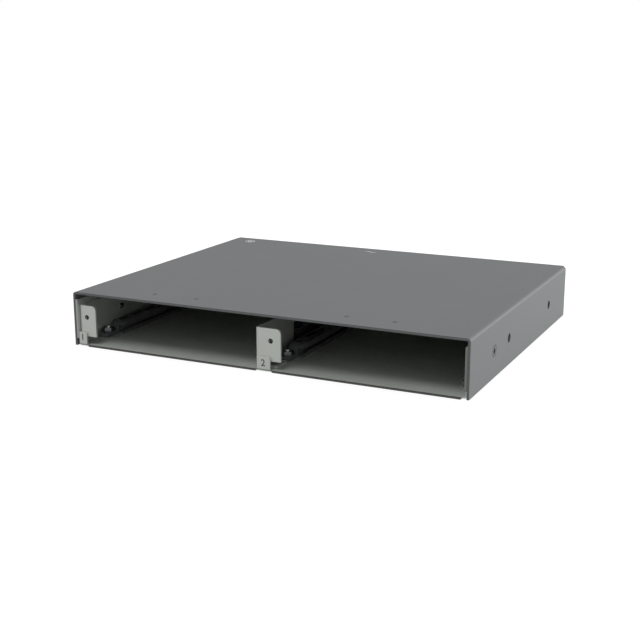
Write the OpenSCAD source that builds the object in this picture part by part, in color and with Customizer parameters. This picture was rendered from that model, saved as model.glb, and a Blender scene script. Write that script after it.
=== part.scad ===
// Desktop chassis for two plug-in media converter modules, lying side by side.
// A plated tray carries everything. A painted cover slides over it and is screwed on.
// Sizes are worked out in a corner frame: X from the left, Y from the front, Z from the table.

/* [Body] */
// Overall width
body_w = 210; // [204:1:240]
// Depth of the cover, from its front edge to its rear face
body_d = 170; // [164:1:200]
// Overall height
body_h = 28; // [27.5:0.5:36]

/* [Sheet metal] */
// Thickness of the painted cover
cover_t = 1.2; // [1:0.1:1.5]
// Thickness of the plated tray and bulkhead
tray_t = 1; // [0.8:0.1:1.2]
// Thickness of the slot brackets
bracket_t = 1.2; // [1:0.1:1.3]
// Outer bend radius of the cover
cover_r = 1.6; // [1.5:0.1:3]
// Outer bend radius of the tray and the bulkhead
tray_r = 1.8; // [1.5:0.1:2.2]
// Outer bend radius of the slot brackets
bracket_r = 1.7; // [1.5:0.1:2]
// Gap between nested sheets
sheet_gap = 0.1; // [0.05:0.05:0.2]
// How far the side walls of the tray stop below the cover
wall_drop = 2.8; // [1:0.1:4]
// How far the rear wall of the tray stops below the cover
rear_drop = 0.3; // [0.2:0.1:0.6]
// Width of the cover's return flange behind
flange_w = 8.5; // [8:0.1:9]
// Height at which the return flange starts
flange_z = 3.5; // [2:0.5:5]

/* [Slot tabs] */
// Height of the lower edge of a slot tab above the table
tab_z = 5.1; // [5:0.1:6]
// Height of a slot tab
tab_h = 15.9; // [14:0.1:17]
// Reach of a slot tab to the right of its slot's left limit
tab_reach = 12.3; // [11:0.1:14]
// Corner radius of a slot tab
tab_corner_r = 2.6; // [1:0.1:3]
// Place of the module screw's hole, right of the slot's left limit
tab_hole_x = 6.95; // [6:0.05:8]
// Height of the module screw's hole above the table
tab_hole_z = 15; // [13:0.1:17]
// Radius of the hole before its M3 thread
tab_hole_r = 1.25; // [1.2:0.05:1.3]
// Length of a slot bracket's web, from front to back
web_l = 38; // [30:1:44]
// Width of the number tabs' right edge, from the slot's left limit
number_reach = 7.2; // [6:0.1:8]
// Height of the number tabs above the table
number_h = 7.4; // [6:0.1:9]
// Corner radius of the number tabs
number_corner_r = 1.4; // [0.5:0.1:2]

/* [Module guides] */
// Thickness of a module's board, which the guides hold
card_t = 1.6; // [1.4:0.1:1.7]
// Height of the module's board above the floor
card_lift = 2.2; // [2.1:0.1:2.3]
// Clearance above and below the module's board
card_gap = 0.15; // [0.1:0.05:0.2]
// Width of a card guide
guide_w = 8; // [7.6:0.1:8.6]
// Height of a card guide
guide_h = 6.4; // [6:0.1:7]
// Depth of the groove
groove_d = 2.8; // [2.2:0.1:3]
// Distance of the guides from the front edge
guide_setback = 15.5; // [13:0.5:20]
// Length of the low foot at each end of a guide
guide_foot_l = 9; // [8:0.1:11]
// Thickness of the foot
guide_foot_h = 2.4; // [2:0.1:2.8]
// Clearance between a guide and the sheet beside it
guide_gap = 0.3; // [0.2:0.05:0.5]

/* [Side holes] */
// Distance between the two round holes in each side
ear_pitch = 74; // [70:1:80]
// Distance of the first round hole from the front edge
ear_y = 59.5; // [52:0.5:60]
// Height of the round holes above the table
ear_z = 13.7; // [12.5:0.1:15]
// Radius of the round holes in the cover
ear_hole_r = 2.25; // [2.1:0.05:2.5]
// Radius of the nut's bore before its M4 thread
ear_bore_r = 1.65; // [1.6:0.05:1.7]
// Distance of the countersunk side screw from the front edge
side_screw_y = 36; // [33:0.5:37]
// Height of the countersunk side screw above the table
side_screw_z = 13.3; // [12:0.1:14]

/* [Power supply] */
// Clear depth of the space behind the bulkhead
supply_bay_d = 40; // [38:0.5:42]
// Width of the power supply's board
supply_w = 86; // [82:1:88]
// Depth of the power supply's board
supply_d = 30; // [29:0.5:31]
// Gap between the power supply's board and the right wall
supply_side_gap = 3.7; // [3:0.1:4.5]
// Height of the standoffs under the power supply's board
standoff_h = 5; // [4:0.1:6]
// Distance from the mains inlet's middle to the power supply's board
inlet_reach = 23; // [21:0.5:28]
// Height inside the cover that the mains inlet's flange leaves free
inlet_spare_h = 4.4; // [4.2:0.1:5.4]
// Place of the earth stud, from the left side
earth_x = 14; // [14:0.5:20]
// Height of the earth stud
earth_z = 14; // [10:0.5:18]
// Reach of the earth stud behind the cover
earth_reach = 8; // [7:0.5:12]

/* [Hidden] */
$fn = 48;

// Overrun of every cut
over = 1;
// Flat that each bend shares with the sheet beside it
sheet_lap = 0.5;
// Radial gap between a thread and its nut or tapped hole
thread_gap = 0.05;
// Gap of a part that passes through a hole in a board or sheet
pass_gap = 0.2;

// M3 hardware: thread, pan head, flat head, nut
m3_r = 1.5;
m3_head_r = 2.75;
m3_head_h = 1.8;
m3_flat_r = 2.9;
m3_nut_af = 5.5;
m3_nut_h = 2.4;
recess_w = 0.7;
recess_l = 2.9;
recess_d = 0.9;
// M4 hardware
m4_r = 2;
m4_nut_af = 7;
m4_nut_h = 3.2;
m4_washer_r = 4.2;
m4_washer_t = 0.6;
washer_teeth = 8;
washer_tooth_d = 0.6;

// Faces of the sheets
cover_lift = 0.2;
cover_in_z = body_h - cover_t;
tray_x = cover_t + sheet_gap;
tray_w = body_w - 2 * tray_x;
wall_x = tray_x + tray_t;
right_wall_x = body_w - wall_x;
wall_z = cover_in_z - wall_drop;
rear_y = body_d - cover_t - sheet_gap;
rear_in_y = rear_y - tray_t;
rear_z = cover_in_z - rear_drop;
all_d = body_d + earth_reach;

// Pressed dimples of the cover, a pair above each slot
dimple_y = 12.8;
dimple_half_pitch = 12;
dimple_r = 2;
dimple_rise = 1.2;

// Reliefs in the tray
corner_notch_h = 3.9;
corner_notch_d = 2.2;
relief_w = 0.8;
relief_d = 0.6;
collar_r = 2.4;
collar_h = 1.3;
rear_screw_x = 5.6;
rear_screw_z = 14;
rear_screw_l = 5;
side_screw_l = 4.5;

// Slots share the width. A slot's own X runs from its left limit.
slot_pitch = body_w / 2;
slot_xs = [0, slot_pitch];
tab_y = tray_t + pass_gap;
number_x = wall_x + guide_gap;
number_gap = 0.2;
web_z = tray_t;
weld_foot_y = 4.5;
weld_foot_l = 10;
weld_foot_w = 8;
weld_strip_w = 3.2;

// Module bay, worked out from the rear
bulkhead_y = rear_in_y - supply_bay_d;
bulkhead_in_y = bulkhead_y - tray_t;
bulkhead_side_gap = 5;
bulkhead_drop = 2.3;
bulkhead_z = cover_in_z - bulkhead_drop;
bulkhead_foot_l = 7;
bulkhead_stud_shares = [0.07, 0.5, 0.93];
board_t = 1.6;
spacer_l = 3;
spacer_shank_r = 2.2;
backplane_y = bulkhead_in_y - spacer_l - board_t;
backplane_lift = 0.6;
backplane_side_gap = 7;
backplane_drop = 1;
backplane_top = bulkhead_z - backplane_drop;
backplane_screw_inset = 14.5;
backplane_screw_half = slot_pitch / 2 - backplane_screw_inset;
backplane_screw_z = 15;
connector_w = 52;
connector_h = 5.6;
connector_d = 9;
connector_slot_w = 46;
connector_slot_d = 7;
connector_y = backplane_y - connector_d;

// Card guides
card_z = tray_t + card_lift;
guide_x = wall_x + bracket_t + guide_gap;
guide_stop = 1.5;
guide_y = guide_setback;
guide_l = connector_y - guide_stop - guide_y;
guide_foot_w = 5;
guide_stud_x = guide_x + guide_foot_w / 2;
guide_mouth_l = 9;
guide_mouth_flare = 0.9;
guide_lip_r = 5;
guide_wall = 1.3;
guide_pockets = 6;
guide_pocket_share = 0.8;
groove_z = card_z - card_gap;
groove_h = card_t + 2 * card_gap;

// Studs pressed into the floor
stud_head_r = 2.3;
stud_head_share = 0.7;
stud_spare = 0.5;

// Clinch nuts in the side walls
clinch_r = 3.9;
clinch_h = 2;
clinch_shank_r = 2.6;

// Power supply board and what stands on it. Places are shares of the board.
supply_rear_gap = 2;
supply_x = right_wall_x - supply_side_gap - supply_w;
supply_y = rear_in_y - supply_rear_gap - supply_d;
supply_z = tray_t + standoff_h;
supply_top = supply_z + board_t;
supply_inset = 3.5;
insulator_t = 0.25;
insulator_edge = 0.5;
stand_gap = 0.1;
// Height that the tallest component takes up, and the clearance above it
supply_head_gap = 3.1;
tall_h = cover_in_z - supply_head_gap - supply_top - stand_gap;
tall_step = 1;
mains_header_share = [0.08, 0.53];
mains_header_size = [10, 9, 7];
fuse_share = [0.22, 0.17];
fuse_r = 2.6;
fuse_l = 20;
fuse_cap_l = 5;
clip_t = 0.5;
clip_l = 5;
clip_rise = 1;
suppressor_share = [0.27, 0.44];
suppressor_size = [13, 5, 10];
choke_share = [0.255, 0.78];
choke_size = [15, 4, 12];
choke_leg = 3;
coil_wrap = 1.6;
coil_gap = 0.2;
bridge_share = [0.405, 0.3];
bridge_size = [3.5, 14, 10];
bulk_share = [0.52, 0.42];
bulk_r = 6.25;
bulk_h = tall_h - tall_step;
sink_share = [0.53, 0.92];
sink_size = [26, 1.5, tall_h];
sink_fins = 5;
sink_fin = [1.2, 1.5];
transistor_x = -3.1;
transistor_lead_share = 0.09375;
transistor_lead_h = transistor_lead_share * tall_h;
transistor_lead = [0.8, 0.6];
transistor_pitch = 2.54;
transistor_tab_t = 1.2;
transistor_tab_edge = 2.3;
transistor_tab_h = tall_h - 2 * transistor_lead_h;
transistor_hole_z = transistor_lead_h + transistor_tab_h - transistor_tab_edge;
transistor_size = [10, 2.8, transistor_hole_z - m3_head_r - transistor_lead_h - pass_gap];
transistor_screw_l = 3.5;
transformer_share = [0.735, 0.53];
transformer_w_share = 0.2325;
transformer_size = [transformer_w_share * supply_w, 6, tall_h - tall_step];
transformer_leg_share = 0.2;
transformer_middle_share = 0.25;
transformer_wrap_share = 0.14;
transformer_leg = transformer_leg_share * transformer_size[0];
transformer_core_leg = transformer_middle_share * transformer_size[0];
transformer_coil_wrap = transformer_wrap_share * transformer_size[0];
output_cap_shares = [[0.915, 0.42], [0.905, 0.71]];
output_cap_r = 3.9;
output_cap_h = 12;
output_header_share = [0.86, 0.16];
output_header_size = [8, 4.5, 6];
lead_r = 0.9;
lead_rings = 7;
lead_sides = 8;
backplane_header_share = 0.88;
backplane_header_x = backplane_header_share * body_w;
backplane_header_face = [8, 6];
backplane_header_d = 8;
backplane_header_z = 16;

// Mains inlet
inlet_x = supply_x - inlet_reach;
inlet_lift = 0.4;
inlet_z = cover_in_z / 2 + inlet_lift;
inlet_flange = [50, cover_in_z - inlet_spare_h];
inlet_flange_t = 2.6;
inlet_screw_half = 20;
inlet_screw_l = 7;
inlet_head_h = 1.4;
inlet_step = 3;
inlet_wall = 2.8;
inlet_core = [27, inlet_flange[1] - inlet_step];
inlet_depth = 17;
inlet_floor_t = 3.2;
inlet_well = [24.4, inlet_core[1] - inlet_wall];
inlet_bevel = 4.5;
inlet_ear_h = 11;
inlet_shoulder_w = 30;
inlet_front_y = rear_y - inlet_depth;
inlet_face_y = rear_y + inlet_flange_t;
pin_size = [2, 4];
pin_half_pitch = 7;
pin_offset = 2;
pin_recess = 2;
pin_tab = [0.8, 6.3];
pin_tab_l = 7;

// Earth stud, its lug and lead
earth_inner_l = 11;
earth_collar_y = rear_y + m4_washer_t;
earth_relief_w = 0.5;
earth_relief_r = 1.6;
lug_r = 4;
lug_t = 0.8;
lug_neck = [8, 4];
lug_barrel_r = 1.6;
lug_barrel_l = 5;
lug_y = rear_in_y - m4_nut_h - lug_t;
earth_end_x = earth_x + lug_neck[0] + lug_barrel_l;

// Leads: sleeves on the inlet's tabs, then round insulation along a route of chosen points
sleeve_size = [2.6, 9, 7.5];
sleeve_y = inlet_front_y - sleeve_size[1] - sheet_gap;
earth_route = [[38, 0, 0], [-9, -7, -1], [0, -7, 0]];
mains_routes = [[[0, -6.5, -0.6], [18, -6.5, -1.3], [-5, 0, 0]], [[0, -4, 1], [7, 0, 2], [-7, 0, 2]]];
header_entry_z = 2.5;
supply_route = [[0, 0, 5], [0, 5, 0]];
supply_lead_half = 2;

function slot_mid(i) = slot_xs[i] + slot_pitch / 2;
function on_board(share) =
    [supply_x + share[0] * supply_w, supply_y + share[1] * supply_d, supply_top + stand_gap];

// Colours as the photograph shows them
module painted() color([0.2, 0.2, 0.2]) children();
module plated() color([0.66, 0.67, 0.64]) children();
module bright() color([0.8, 0.8, 0.82]) children();
module black_plastic() color([0.07, 0.07, 0.07]) children();
module green_board() color([0.06, 0.3, 0.14]) children();
module ferrite() color([0.16, 0.16, 0.17]) children();
module copper() color([0.72, 0.42, 0.2]) children();

// The corner frame, set so that the origin is below the middle of the whole object
module corner_frame() translate([-body_w / 2, -all_d / 2, 0]) children();
module right_side() translate([body_w, 0, 0]) mirror([1, 0, 0]) children();
module both_sides() { children(); right_side() children(); }
module facing_front(y = 0) translate([0, y, 0]) rotate([90, 0, 0]) children();
module facing_rear(y = 0) translate([0, y, 0]) rotate([-90, 0, 0]) children();
module facing_left(x = 0) translate([x, 0, 0]) rotate([0, -90, 0]) children();
module facing_right(x = 0) translate([x, 0, 0]) rotate([0, 90, 0]) children();

// Plate with its outline in X and Z, which starts at y and runs back by t
module upright(y, t) translate([0, y + t, 0]) rotate([90, 0, 0]) linear_extrude(t) children();

// Outline with its two upper corners rounded
module round_top(w, h, r) {
    square([w, h - r]);
    translate([r, 0]) square([w - 2 * r, h]);
    for (x = [r, w - r]) translate([x, h - r]) circle(r = r);
}

// Quarter of a bent sheet, with a short flat on each side. The ring's outside touches both axes.
module bend(r, t) {
    intersection() {
        difference() {
            translate([r, r]) circle(r = r);
            translate([r, r]) circle(r = r - t);
        }
        square(r);
    }
    translate([r, 0]) square([sheet_lap, t]);
    translate([0, r]) square([t, sheet_lap]);
}

// Floor side to the right, wall upwards: a bend with its wall, as an outline
module bent_wall(r, t, h) {
    bend(r, t);
    translate([0, r]) square([t, h - r]);
}

// Box with a middle in X and Y, standing on z = 0
module block(size) translate([-size[0] / 2, -size[1] / 2, 0]) cube(size);

module cross_recess(d) for (a = [0, 90])
    rotate(a) translate([0, 0, -d]) block([recess_l, recess_w, d + over]);

// Screws stand along Z: the seat at z = 0, the thread below it
module pan_screw(l) difference() {
    union() {
        cylinder(r = m3_head_r - recess_w / 2, h = m3_head_h);
        cylinder(r = m3_head_r, h = m3_head_h - recess_w / 2);
        translate([0, 0, -l]) cylinder(r = m3_r, h = l);
    }
    translate([0, 0, m3_head_h]) cross_recess(recess_d);
}

module flat_screw(head_h, l) difference() {
    union() {
        translate([0, 0, -head_h]) cylinder(r1 = m3_flat_r - head_h, r2 = m3_flat_r, h = head_h);
        translate([0, 0, -l]) cylinder(r = m3_r, h = l);
    }
    cross_recess(recess_d);
}

module flat_seat(head_h, l) {
    translate([0, 0, -head_h])
        cylinder(r1 = m3_flat_r - head_h + pass_gap, r2 = m3_flat_r + pass_gap, h = head_h);
    translate([0, 0, -l]) cylinder(r = m3_r + pass_gap, h = l + over);
}

// Hexagon with two flats facing left and right
function hex_r(af) = af / 2 / cos(30);
module hex_rod(af, h) rotate(30) cylinder(r = hex_r(af), h = h, $fn = 6);
module hex_nut(af, h, r) difference() {
    hex_rod(af, h);
    translate([0, 0, -over]) cylinder(r = r + thread_gap, h = h + 2 * over);
}

// Hole and collar of an extruded tapped hole, seen from the sheet's inner face at z = 0
module collar() cylinder(r = collar_r, h = collar_h);
module collar_bore(t, r) translate([0, 0, -t - over]) cylinder(r = r, h = t + collar_h + 2 * over);

// Stud pressed in from below, its head flush in the floor
module floor_stud(top) {
    translate([0, 0, thread_gap]) cylinder(r = stud_head_r, h = stud_head_share * tray_t - thread_gap);
    translate([0, 0, stud_head_share * tray_t]) cylinder(r = m3_r, h = top - stud_head_share * tray_t);
}
module floor_stud_hole() {
    translate([0, 0, -over]) cylinder(r = stud_head_r + thread_gap, h = stud_head_share * tray_t + over);
    cylinder(r = m3_r + thread_gap, h = tray_t + over);
}

// Places that several pieces share
module at_guide_studs() for (x = slot_xs, own_x = [guide_stud_x, slot_pitch - guide_stud_x])
    for (y = [guide_foot_l / 2, guide_l - guide_foot_l / 2])
        translate([x + own_x, guide_y + y, 0]) children();
module at_bulkhead_studs() for (x = bulkhead_stud_shares * (body_w - 2 * bulkhead_side_gap))
    translate([bulkhead_side_gap + x, bulkhead_y + bulkhead_foot_l / 2, 0]) children();
module at_supply_corners() for (x = [supply_inset, supply_w - supply_inset])
    for (y = [supply_inset, supply_d - supply_inset]) translate([supply_x + x, supply_y + y, 0]) children();
module at_backplane_screws() for (i = [0, 1], side = [-1, 1])
    translate([slot_mid(i) + side * backplane_screw_half, 0, backplane_screw_z]) children();
module at_inlet_screws() for (side = [-1, 1])
    translate([inlet_x + side * inlet_screw_half, 0, inlet_z]) children();
module at_side_screw() translate([0, side_screw_y, side_screw_z]) children();
module at_ear_holes() for (y = [ear_y, ear_y + ear_pitch]) translate([0, y, ear_z]) children();

// Cover: bent along both top edges, then folded round the rear corners
module cover_section() translate([0, cover_lift]) difference() {
    round_top(body_w, body_h - cover_lift, cover_r);
    translate([cover_t, -over])
        round_top(body_w - 2 * cover_t, body_h - cover_lift - cover_t + over, cover_r - cover_t);
}

module rear_return() {
    flange_top = min(body_h - cover_r, cover_in_z - relief_w);
    translate([0, body_d, flange_z]) linear_extrude(flange_top - flange_z)
        mirror([0, 1]) bend(cover_r, cover_t);
    upright(body_d - cover_t, cover_t) polygon([
        [cover_r, flange_z], [flange_w - cover_r, flange_z], [flange_w, flange_z + cover_r],
        [flange_w, flange_top], [cover_r, flange_top]
    ]);
}

module dimple_places() for (i = [0, 1], side = [-1, 1])
    translate([slot_mid(i) + side * dimple_half_pitch, dimple_y, body_h + dimple_rise]) children();

module top_cover() painted() corner_frame() difference() {
    union() {
        translate([0, body_d - cover_r, 0]) facing_front() linear_extrude(body_d - cover_r) cover_section();
        translate([cover_r, body_d - cover_r - sheet_lap, cover_in_z])
            cube([body_w - 2 * cover_r, cover_r + sheet_lap, cover_t]);
        both_sides() rear_return();
        intersection() {
            dimple_places() sphere(r = dimple_r + cover_t);
            translate([0, 0, cover_in_z - dimple_r]) cube([body_w, body_d, dimple_r + cover_t / 2]);
        }
    }
    dimple_places() sphere(r = dimple_r);
    both_sides() {
        at_ear_holes() facing_left(cover_t + over) cylinder(r = ear_hole_r, h = cover_t + 2 * over);
        at_side_screw() facing_left() flat_seat(cover_t - sheet_gap, cover_t + over);
        translate([rear_screw_x, 0, rear_screw_z]) facing_front(body_d + over)
            cylinder(r = m3_r + pass_gap, h = cover_t + 2 * over);
    }
}

// Tray: floor, two side walls, the rear wall and the two number tabs, from one sheet
number_spans = [[number_x, number_reach], [slot_pitch + number_gap, slot_pitch + number_reach]];

module number_tab(x0, x1) {
    translate([x0, 0, 0]) rotate([90, 0, 90]) linear_extrude(x1 - x0) bend(tray_r, tray_t);
    upright(0, tray_t) intersection() {
        translate([x0 - 2 * number_corner_r, tray_r])
            round_top(x1 - x0 + 2 * number_corner_r, number_h - tray_r, number_corner_r);
        translate([x0, 0]) square([x1 - x0, number_h]);
    }
}

module number_tab_relief(x0, x1) {
    translate([x0, -over, -over]) cube([x1 - x0, tray_r + over, tray_t + 2 * over]);
    for (x = [x0 - relief_w, x1])
        translate([x, -over, -over]) cube([relief_w, tray_r + relief_d + over, tray_t + 2 * over]);
}

// Hole in the upright sheet that starts at y, for something of the given width and height
module passage(x, y, z, size)
    translate([x - size[0] / 2 - pass_gap, y - over, z - size[1] / 2 - pass_gap])
        cube([size[0] + 2 * pass_gap, tray_t + 2 * over, size[1] + 2 * pass_gap]);

module base_tray() plated() corner_frame() {
    tray_sheet();
    for (span = number_spans) number_tab(span[0], span[1]);
}

module tray_sheet() difference() {
    union() {
        translate([tray_x + tray_r, 0, 0]) cube([tray_w - 2 * tray_r, rear_y - tray_r, tray_t]);
        both_sides() translate([tray_x, rear_in_y - sheet_gap, 0])
            facing_front() linear_extrude(rear_in_y - sheet_gap) bent_wall(tray_r, tray_t, wall_z);
        translate([tray_x + tray_r, rear_y, 0]) rotate([90, 0, 90])
            linear_extrude(tray_w - 2 * tray_r) mirror([1, 0]) bent_wall(tray_r, tray_t, rear_z);
        both_sides() {
            at_side_screw() facing_right(wall_x) collar();
            translate([rear_screw_x, 0, rear_screw_z]) facing_front(rear_in_y) collar();
        }
    }
    both_sides() {
        translate([0, -over, -over])
            cube([tray_x + tray_r + relief_w, corner_notch_d + over, corner_notch_h + over]);
        at_side_screw() facing_right(wall_x) collar_bore(tray_t, m3_r + thread_gap);
        translate([rear_screw_x, 0, rear_screw_z]) facing_front(rear_in_y)
            collar_bore(tray_t, m3_r + thread_gap);
        at_ear_holes() facing_left(wall_x + over)
            cylinder(r = clinch_shank_r + thread_gap, h = tray_t + 2 * over);
    }
    for (span = number_spans) number_tab_relief(span[0], span[1]);
    at_guide_studs() floor_stud_hole();
    at_bulkhead_studs() floor_stud_hole();
    at_supply_corners() floor_stud_hole();
    passage(inlet_x, rear_in_y, inlet_z, inlet_core);
    at_inlet_screws() facing_front(rear_y + over) cylinder(r = m3_r + pass_gap, h = tray_t + 2 * over);
    translate([earth_x, 0, earth_z]) facing_front(rear_y + over)
        cylinder(r = m4_r + pass_gap, h = tray_t + 2 * over);
}

// Screws that hold the cover
module cover_side_screws() bright() corner_frame()
    both_sides() at_side_screw() facing_left() flat_screw(cover_t - sheet_gap, side_screw_l);

module cover_rear_screws() bright() corner_frame()
    both_sides() translate([rear_screw_x, 0, rear_screw_z]) facing_rear(body_d) pan_screw(rear_screw_l);

// M4 nuts pressed into the side walls, behind the round holes of the cover
module side_clinch_nuts() bright() corner_frame() both_sides() at_ear_holes()
    facing_right(wall_x) difference() {
        union() {
            cylinder(r = clinch_r, h = clinch_h);
            translate([0, 0, thread_gap - tray_t]) cylinder(r = clinch_shank_r, h = tray_t);
        }
        translate([0, 0, -tray_t - over]) cylinder(r = ear_bore_r, h = tray_t + clinch_h + 2 * over);
    }

// Slot brackets: an angle whose short side is the tab with the module screw's hole
module slot_tab(x0, x1) difference() {
    union() {
        upright(tab_y, bracket_t) translate([x0 + bracket_r, 0]) difference() {
            translate([-tab_corner_r, tab_z])
                round_top(x1 - x0 - bracket_r + tab_corner_r, tab_h, tab_corner_r);
            translate([-tab_corner_r - over, tab_z - over]) square([tab_corner_r + over, tab_h + 2 * over]);
        }
        translate([x0, tab_y, tab_z]) linear_extrude(tab_h) bend(bracket_r, bracket_t);
        translate([x1 - tab_reach + tab_hole_x, tab_y + bracket_t, tab_hole_z]) facing_rear() collar();
    }
    translate([x1 - tab_reach + tab_hole_x, tab_y + bracket_t, tab_hole_z]) facing_rear()
        collar_bore(bracket_t, tab_hole_r);
}

module web(x, z0, y0) translate([x, y0, z0]) cube([bracket_t, tab_y + web_l - y0, tab_z + tab_h - z0]);

module left_slot_bracket() plated() corner_frame() difference() {
    union() {
        slot_tab(wall_x, tab_reach);
        web(wall_x, tab_z, tab_y + bracket_r);
    }
    at_side_screw() facing_right(wall_x - over) cylinder(r = collar_r + pass_gap, h = bracket_t + 2 * over);
}

module centre_slot_bracket() plated() corner_frame() {
    web_x = slot_pitch - bracket_t;
    foot_l = tab_y + web_l - weld_foot_y;
    slot_tab(web_x, slot_pitch + tab_reach);
    web(web_x, tab_z, tab_y + bracket_r);
    translate([web_x, weld_foot_y + foot_l, web_z]) facing_front() linear_extrude(foot_l)
        bent_wall(bracket_r, bracket_t, tab_z - web_z + sheet_lap);
    translate([web_x + bracket_r, weld_foot_y, web_z]) cube([weld_foot_w, weld_foot_l, bracket_t]);
    translate([web_x + bracket_r, weld_foot_y, web_z]) cube([weld_strip_w, foot_l, bracket_t]);
}

// Card guides: a grooved rail with a flared mouth and a low foot at each end
module guide_rail_outline(l) {
    translate([0, tray_t]) square([l, guide_h - guide_lip_r]);
    translate([guide_lip_r, tray_t]) square([l - guide_lip_r, guide_h]);
    translate([guide_lip_r, tray_t + guide_h - guide_lip_r]) intersection() {
        circle(r = guide_lip_r);
        translate([-guide_lip_r, 0]) square(guide_lip_r);
    }
}

module guide() {
    rail_y = guide_y + guide_foot_l;
    rail_l = guide_l - 2 * guide_foot_l;
    groove_x = guide_x + guide_w - groove_d;
    pocket_w = guide_w - groove_d - 2 * guide_wall;
    pocket_pitch = (rail_l - guide_lip_r) / guide_pockets;
    difference() {
        union() {
            translate([guide_x, rail_y, 0]) rotate([90, 0, 90])
                linear_extrude(guide_w) guide_rail_outline(rail_l);
            translate([guide_x, guide_y, tray_t]) cube([guide_foot_w, guide_l, guide_foot_h]);
        }
        translate([groove_x, rail_y - over, groove_z]) cube([groove_d + over, rail_l + 2 * over, groove_h]);
        translate([groove_x, rail_y, 0]) rotate([90, 0, 90]) linear_extrude(groove_d + over) polygon([
            [-over, groove_z - guide_mouth_flare], [guide_mouth_l, groove_z],
            [guide_mouth_l, groove_z + groove_h], [-over, groove_z + groove_h + guide_mouth_flare]
        ]);
        for (k = [0:guide_pockets - 1])
            translate([guide_x + guide_wall, rail_y + guide_lip_r + k * pocket_pitch, tray_t + guide_foot_h])
                cube([pocket_w, pocket_pitch * guide_pocket_share, guide_h]);
        for (y = [guide_foot_l / 2, guide_l - guide_foot_l / 2])
            translate([guide_stud_x, guide_y + y, tray_t - over])
                cylinder(r = m3_r + pass_gap, h = guide_foot_h + 2 * over);
    }
}

module slot_guide(i, mirrored) black_plastic() corner_frame() translate([slot_xs[i], 0, 0])
    if (mirrored) translate([slot_pitch, 0, 0]) mirror([1, 0, 0]) guide();
    else guide();

module card_guide_1_left() slot_guide(0, false);
module card_guide_1_right() slot_guide(0, true);
module card_guide_2_left() slot_guide(1, false);
module card_guide_2_right() slot_guide(1, true);

module card_guide_studs() bright() corner_frame()
    at_guide_studs() floor_stud(tray_t + guide_foot_h + m3_nut_h + stud_spare);

module card_guide_nuts() bright() corner_frame()
    at_guide_studs() translate([0, 0, tray_t + guide_foot_h]) hex_nut(m3_nut_af, m3_nut_h, m3_r);

// Bulkhead across the chassis, its foot bent towards the rear
module bulkhead() plated() corner_frame() difference() {
    translate([bulkhead_side_gap, bulkhead_in_y, tray_t]) rotate([90, 0, 90])
        linear_extrude(body_w - 2 * bulkhead_side_gap) {
            bent_wall(tray_r, tray_t, bulkhead_z - tray_t);
            translate([tray_r, 0]) square([tray_t + bulkhead_foot_l - tray_r, tray_t]);
        }
    at_bulkhead_studs() cylinder(r = m3_r + pass_gap, h = 2 * tray_t + over);
    at_backplane_screws() facing_front(bulkhead_y + over)
        cylinder(r = spacer_shank_r + thread_gap, h = tray_t + 2 * over);
    passage(backplane_header_x, bulkhead_in_y, backplane_header_z, backplane_header_face);
}

module bulkhead_studs() bright() corner_frame()
    at_bulkhead_studs() floor_stud(2 * tray_t + m3_nut_h + stud_spare);

module bulkhead_nuts() bright() corner_frame()
    at_bulkhead_studs() translate([0, 0, 2 * tray_t]) hex_nut(m3_nut_af, m3_nut_h, m3_r);

// Backplane, held off the bulkhead by four spacers
module backplane_board() green_board() corner_frame() difference() {
    translate([backplane_side_gap, backplane_y, tray_t + backplane_lift])
        cube([body_w - 2 * backplane_side_gap, board_t, backplane_top - tray_t - backplane_lift]);
    at_backplane_screws() facing_front(backplane_y + board_t + over)
        cylinder(r = m3_r + pass_gap, h = board_t + 2 * over);
}

module backplane_spacers() bright() corner_frame() at_backplane_screws() facing_front(bulkhead_in_y)
    difference() {
        union() {
            hex_rod(m3_nut_af, spacer_l);
            translate([0, 0, thread_gap - tray_t]) cylinder(r = spacer_shank_r, h = tray_t);
        }
        translate([0, 0, -tray_t - over]) cylinder(r = m3_r + thread_gap, h = spacer_l + tray_t + 2 * over);
    }

module backplane_screws() bright() corner_frame()
    at_backplane_screws() facing_front(backplane_y) pan_screw(board_t + spacer_l);

module backplane_header() black_plastic() corner_frame()
    translate([backplane_header_x, 0, backplane_header_z])
        upright(backplane_y + board_t, backplane_header_d) square(backplane_header_face, center = true);

// Card-edge connectors, one at the middle of each slot
module module_connector(i) black_plastic() corner_frame() {
    mid_z = card_z + card_t / 2;
    translate([slot_mid(i), connector_y, mid_z]) difference() {
        translate([-connector_w / 2, 0, -connector_h / 2]) cube([connector_w, connector_d, connector_h]);
        translate([-connector_slot_w / 2, -over, -groove_h / 2])
            cube([connector_slot_w, connector_slot_d + over, groove_h]);
    }
}
module module_connector_1() module_connector(0);
module module_connector_2() module_connector(1);

// Power supply board and what carries it
module supply_board() green_board() corner_frame() difference() {
    translate([supply_x, supply_y, supply_z]) cube([supply_w, supply_d, board_t]);
    at_supply_corners() cylinder(r = m3_r + pass_gap, h = supply_top + over);
}

module supply_standoffs() bright() corner_frame() at_supply_corners() difference() {
    union() {
        floor_stud(2 * tray_t);
        translate([0, 0, tray_t]) hex_rod(m3_nut_af, standoff_h);
    }
    translate([0, 0, 2 * tray_t]) cylinder(r = m3_r + thread_gap, h = standoff_h + over);
}

module supply_screws() bright() corner_frame()
    at_supply_corners() translate([0, 0, supply_top]) pan_screw(board_t + standoff_h - 2 * tray_t);

module insulator_sheet() color([0.85, 0.75, 0.4]) corner_frame() difference() {
    translate([supply_x - insulator_edge, supply_y - insulator_edge, tray_t])
        cube([supply_w + 2 * insulator_edge, supply_d + 2 * insulator_edge, insulator_t]);
    at_supply_corners() cylinder(r = hex_r(m3_nut_af) + pass_gap, h = tray_t + insulator_t + over);
}

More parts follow.
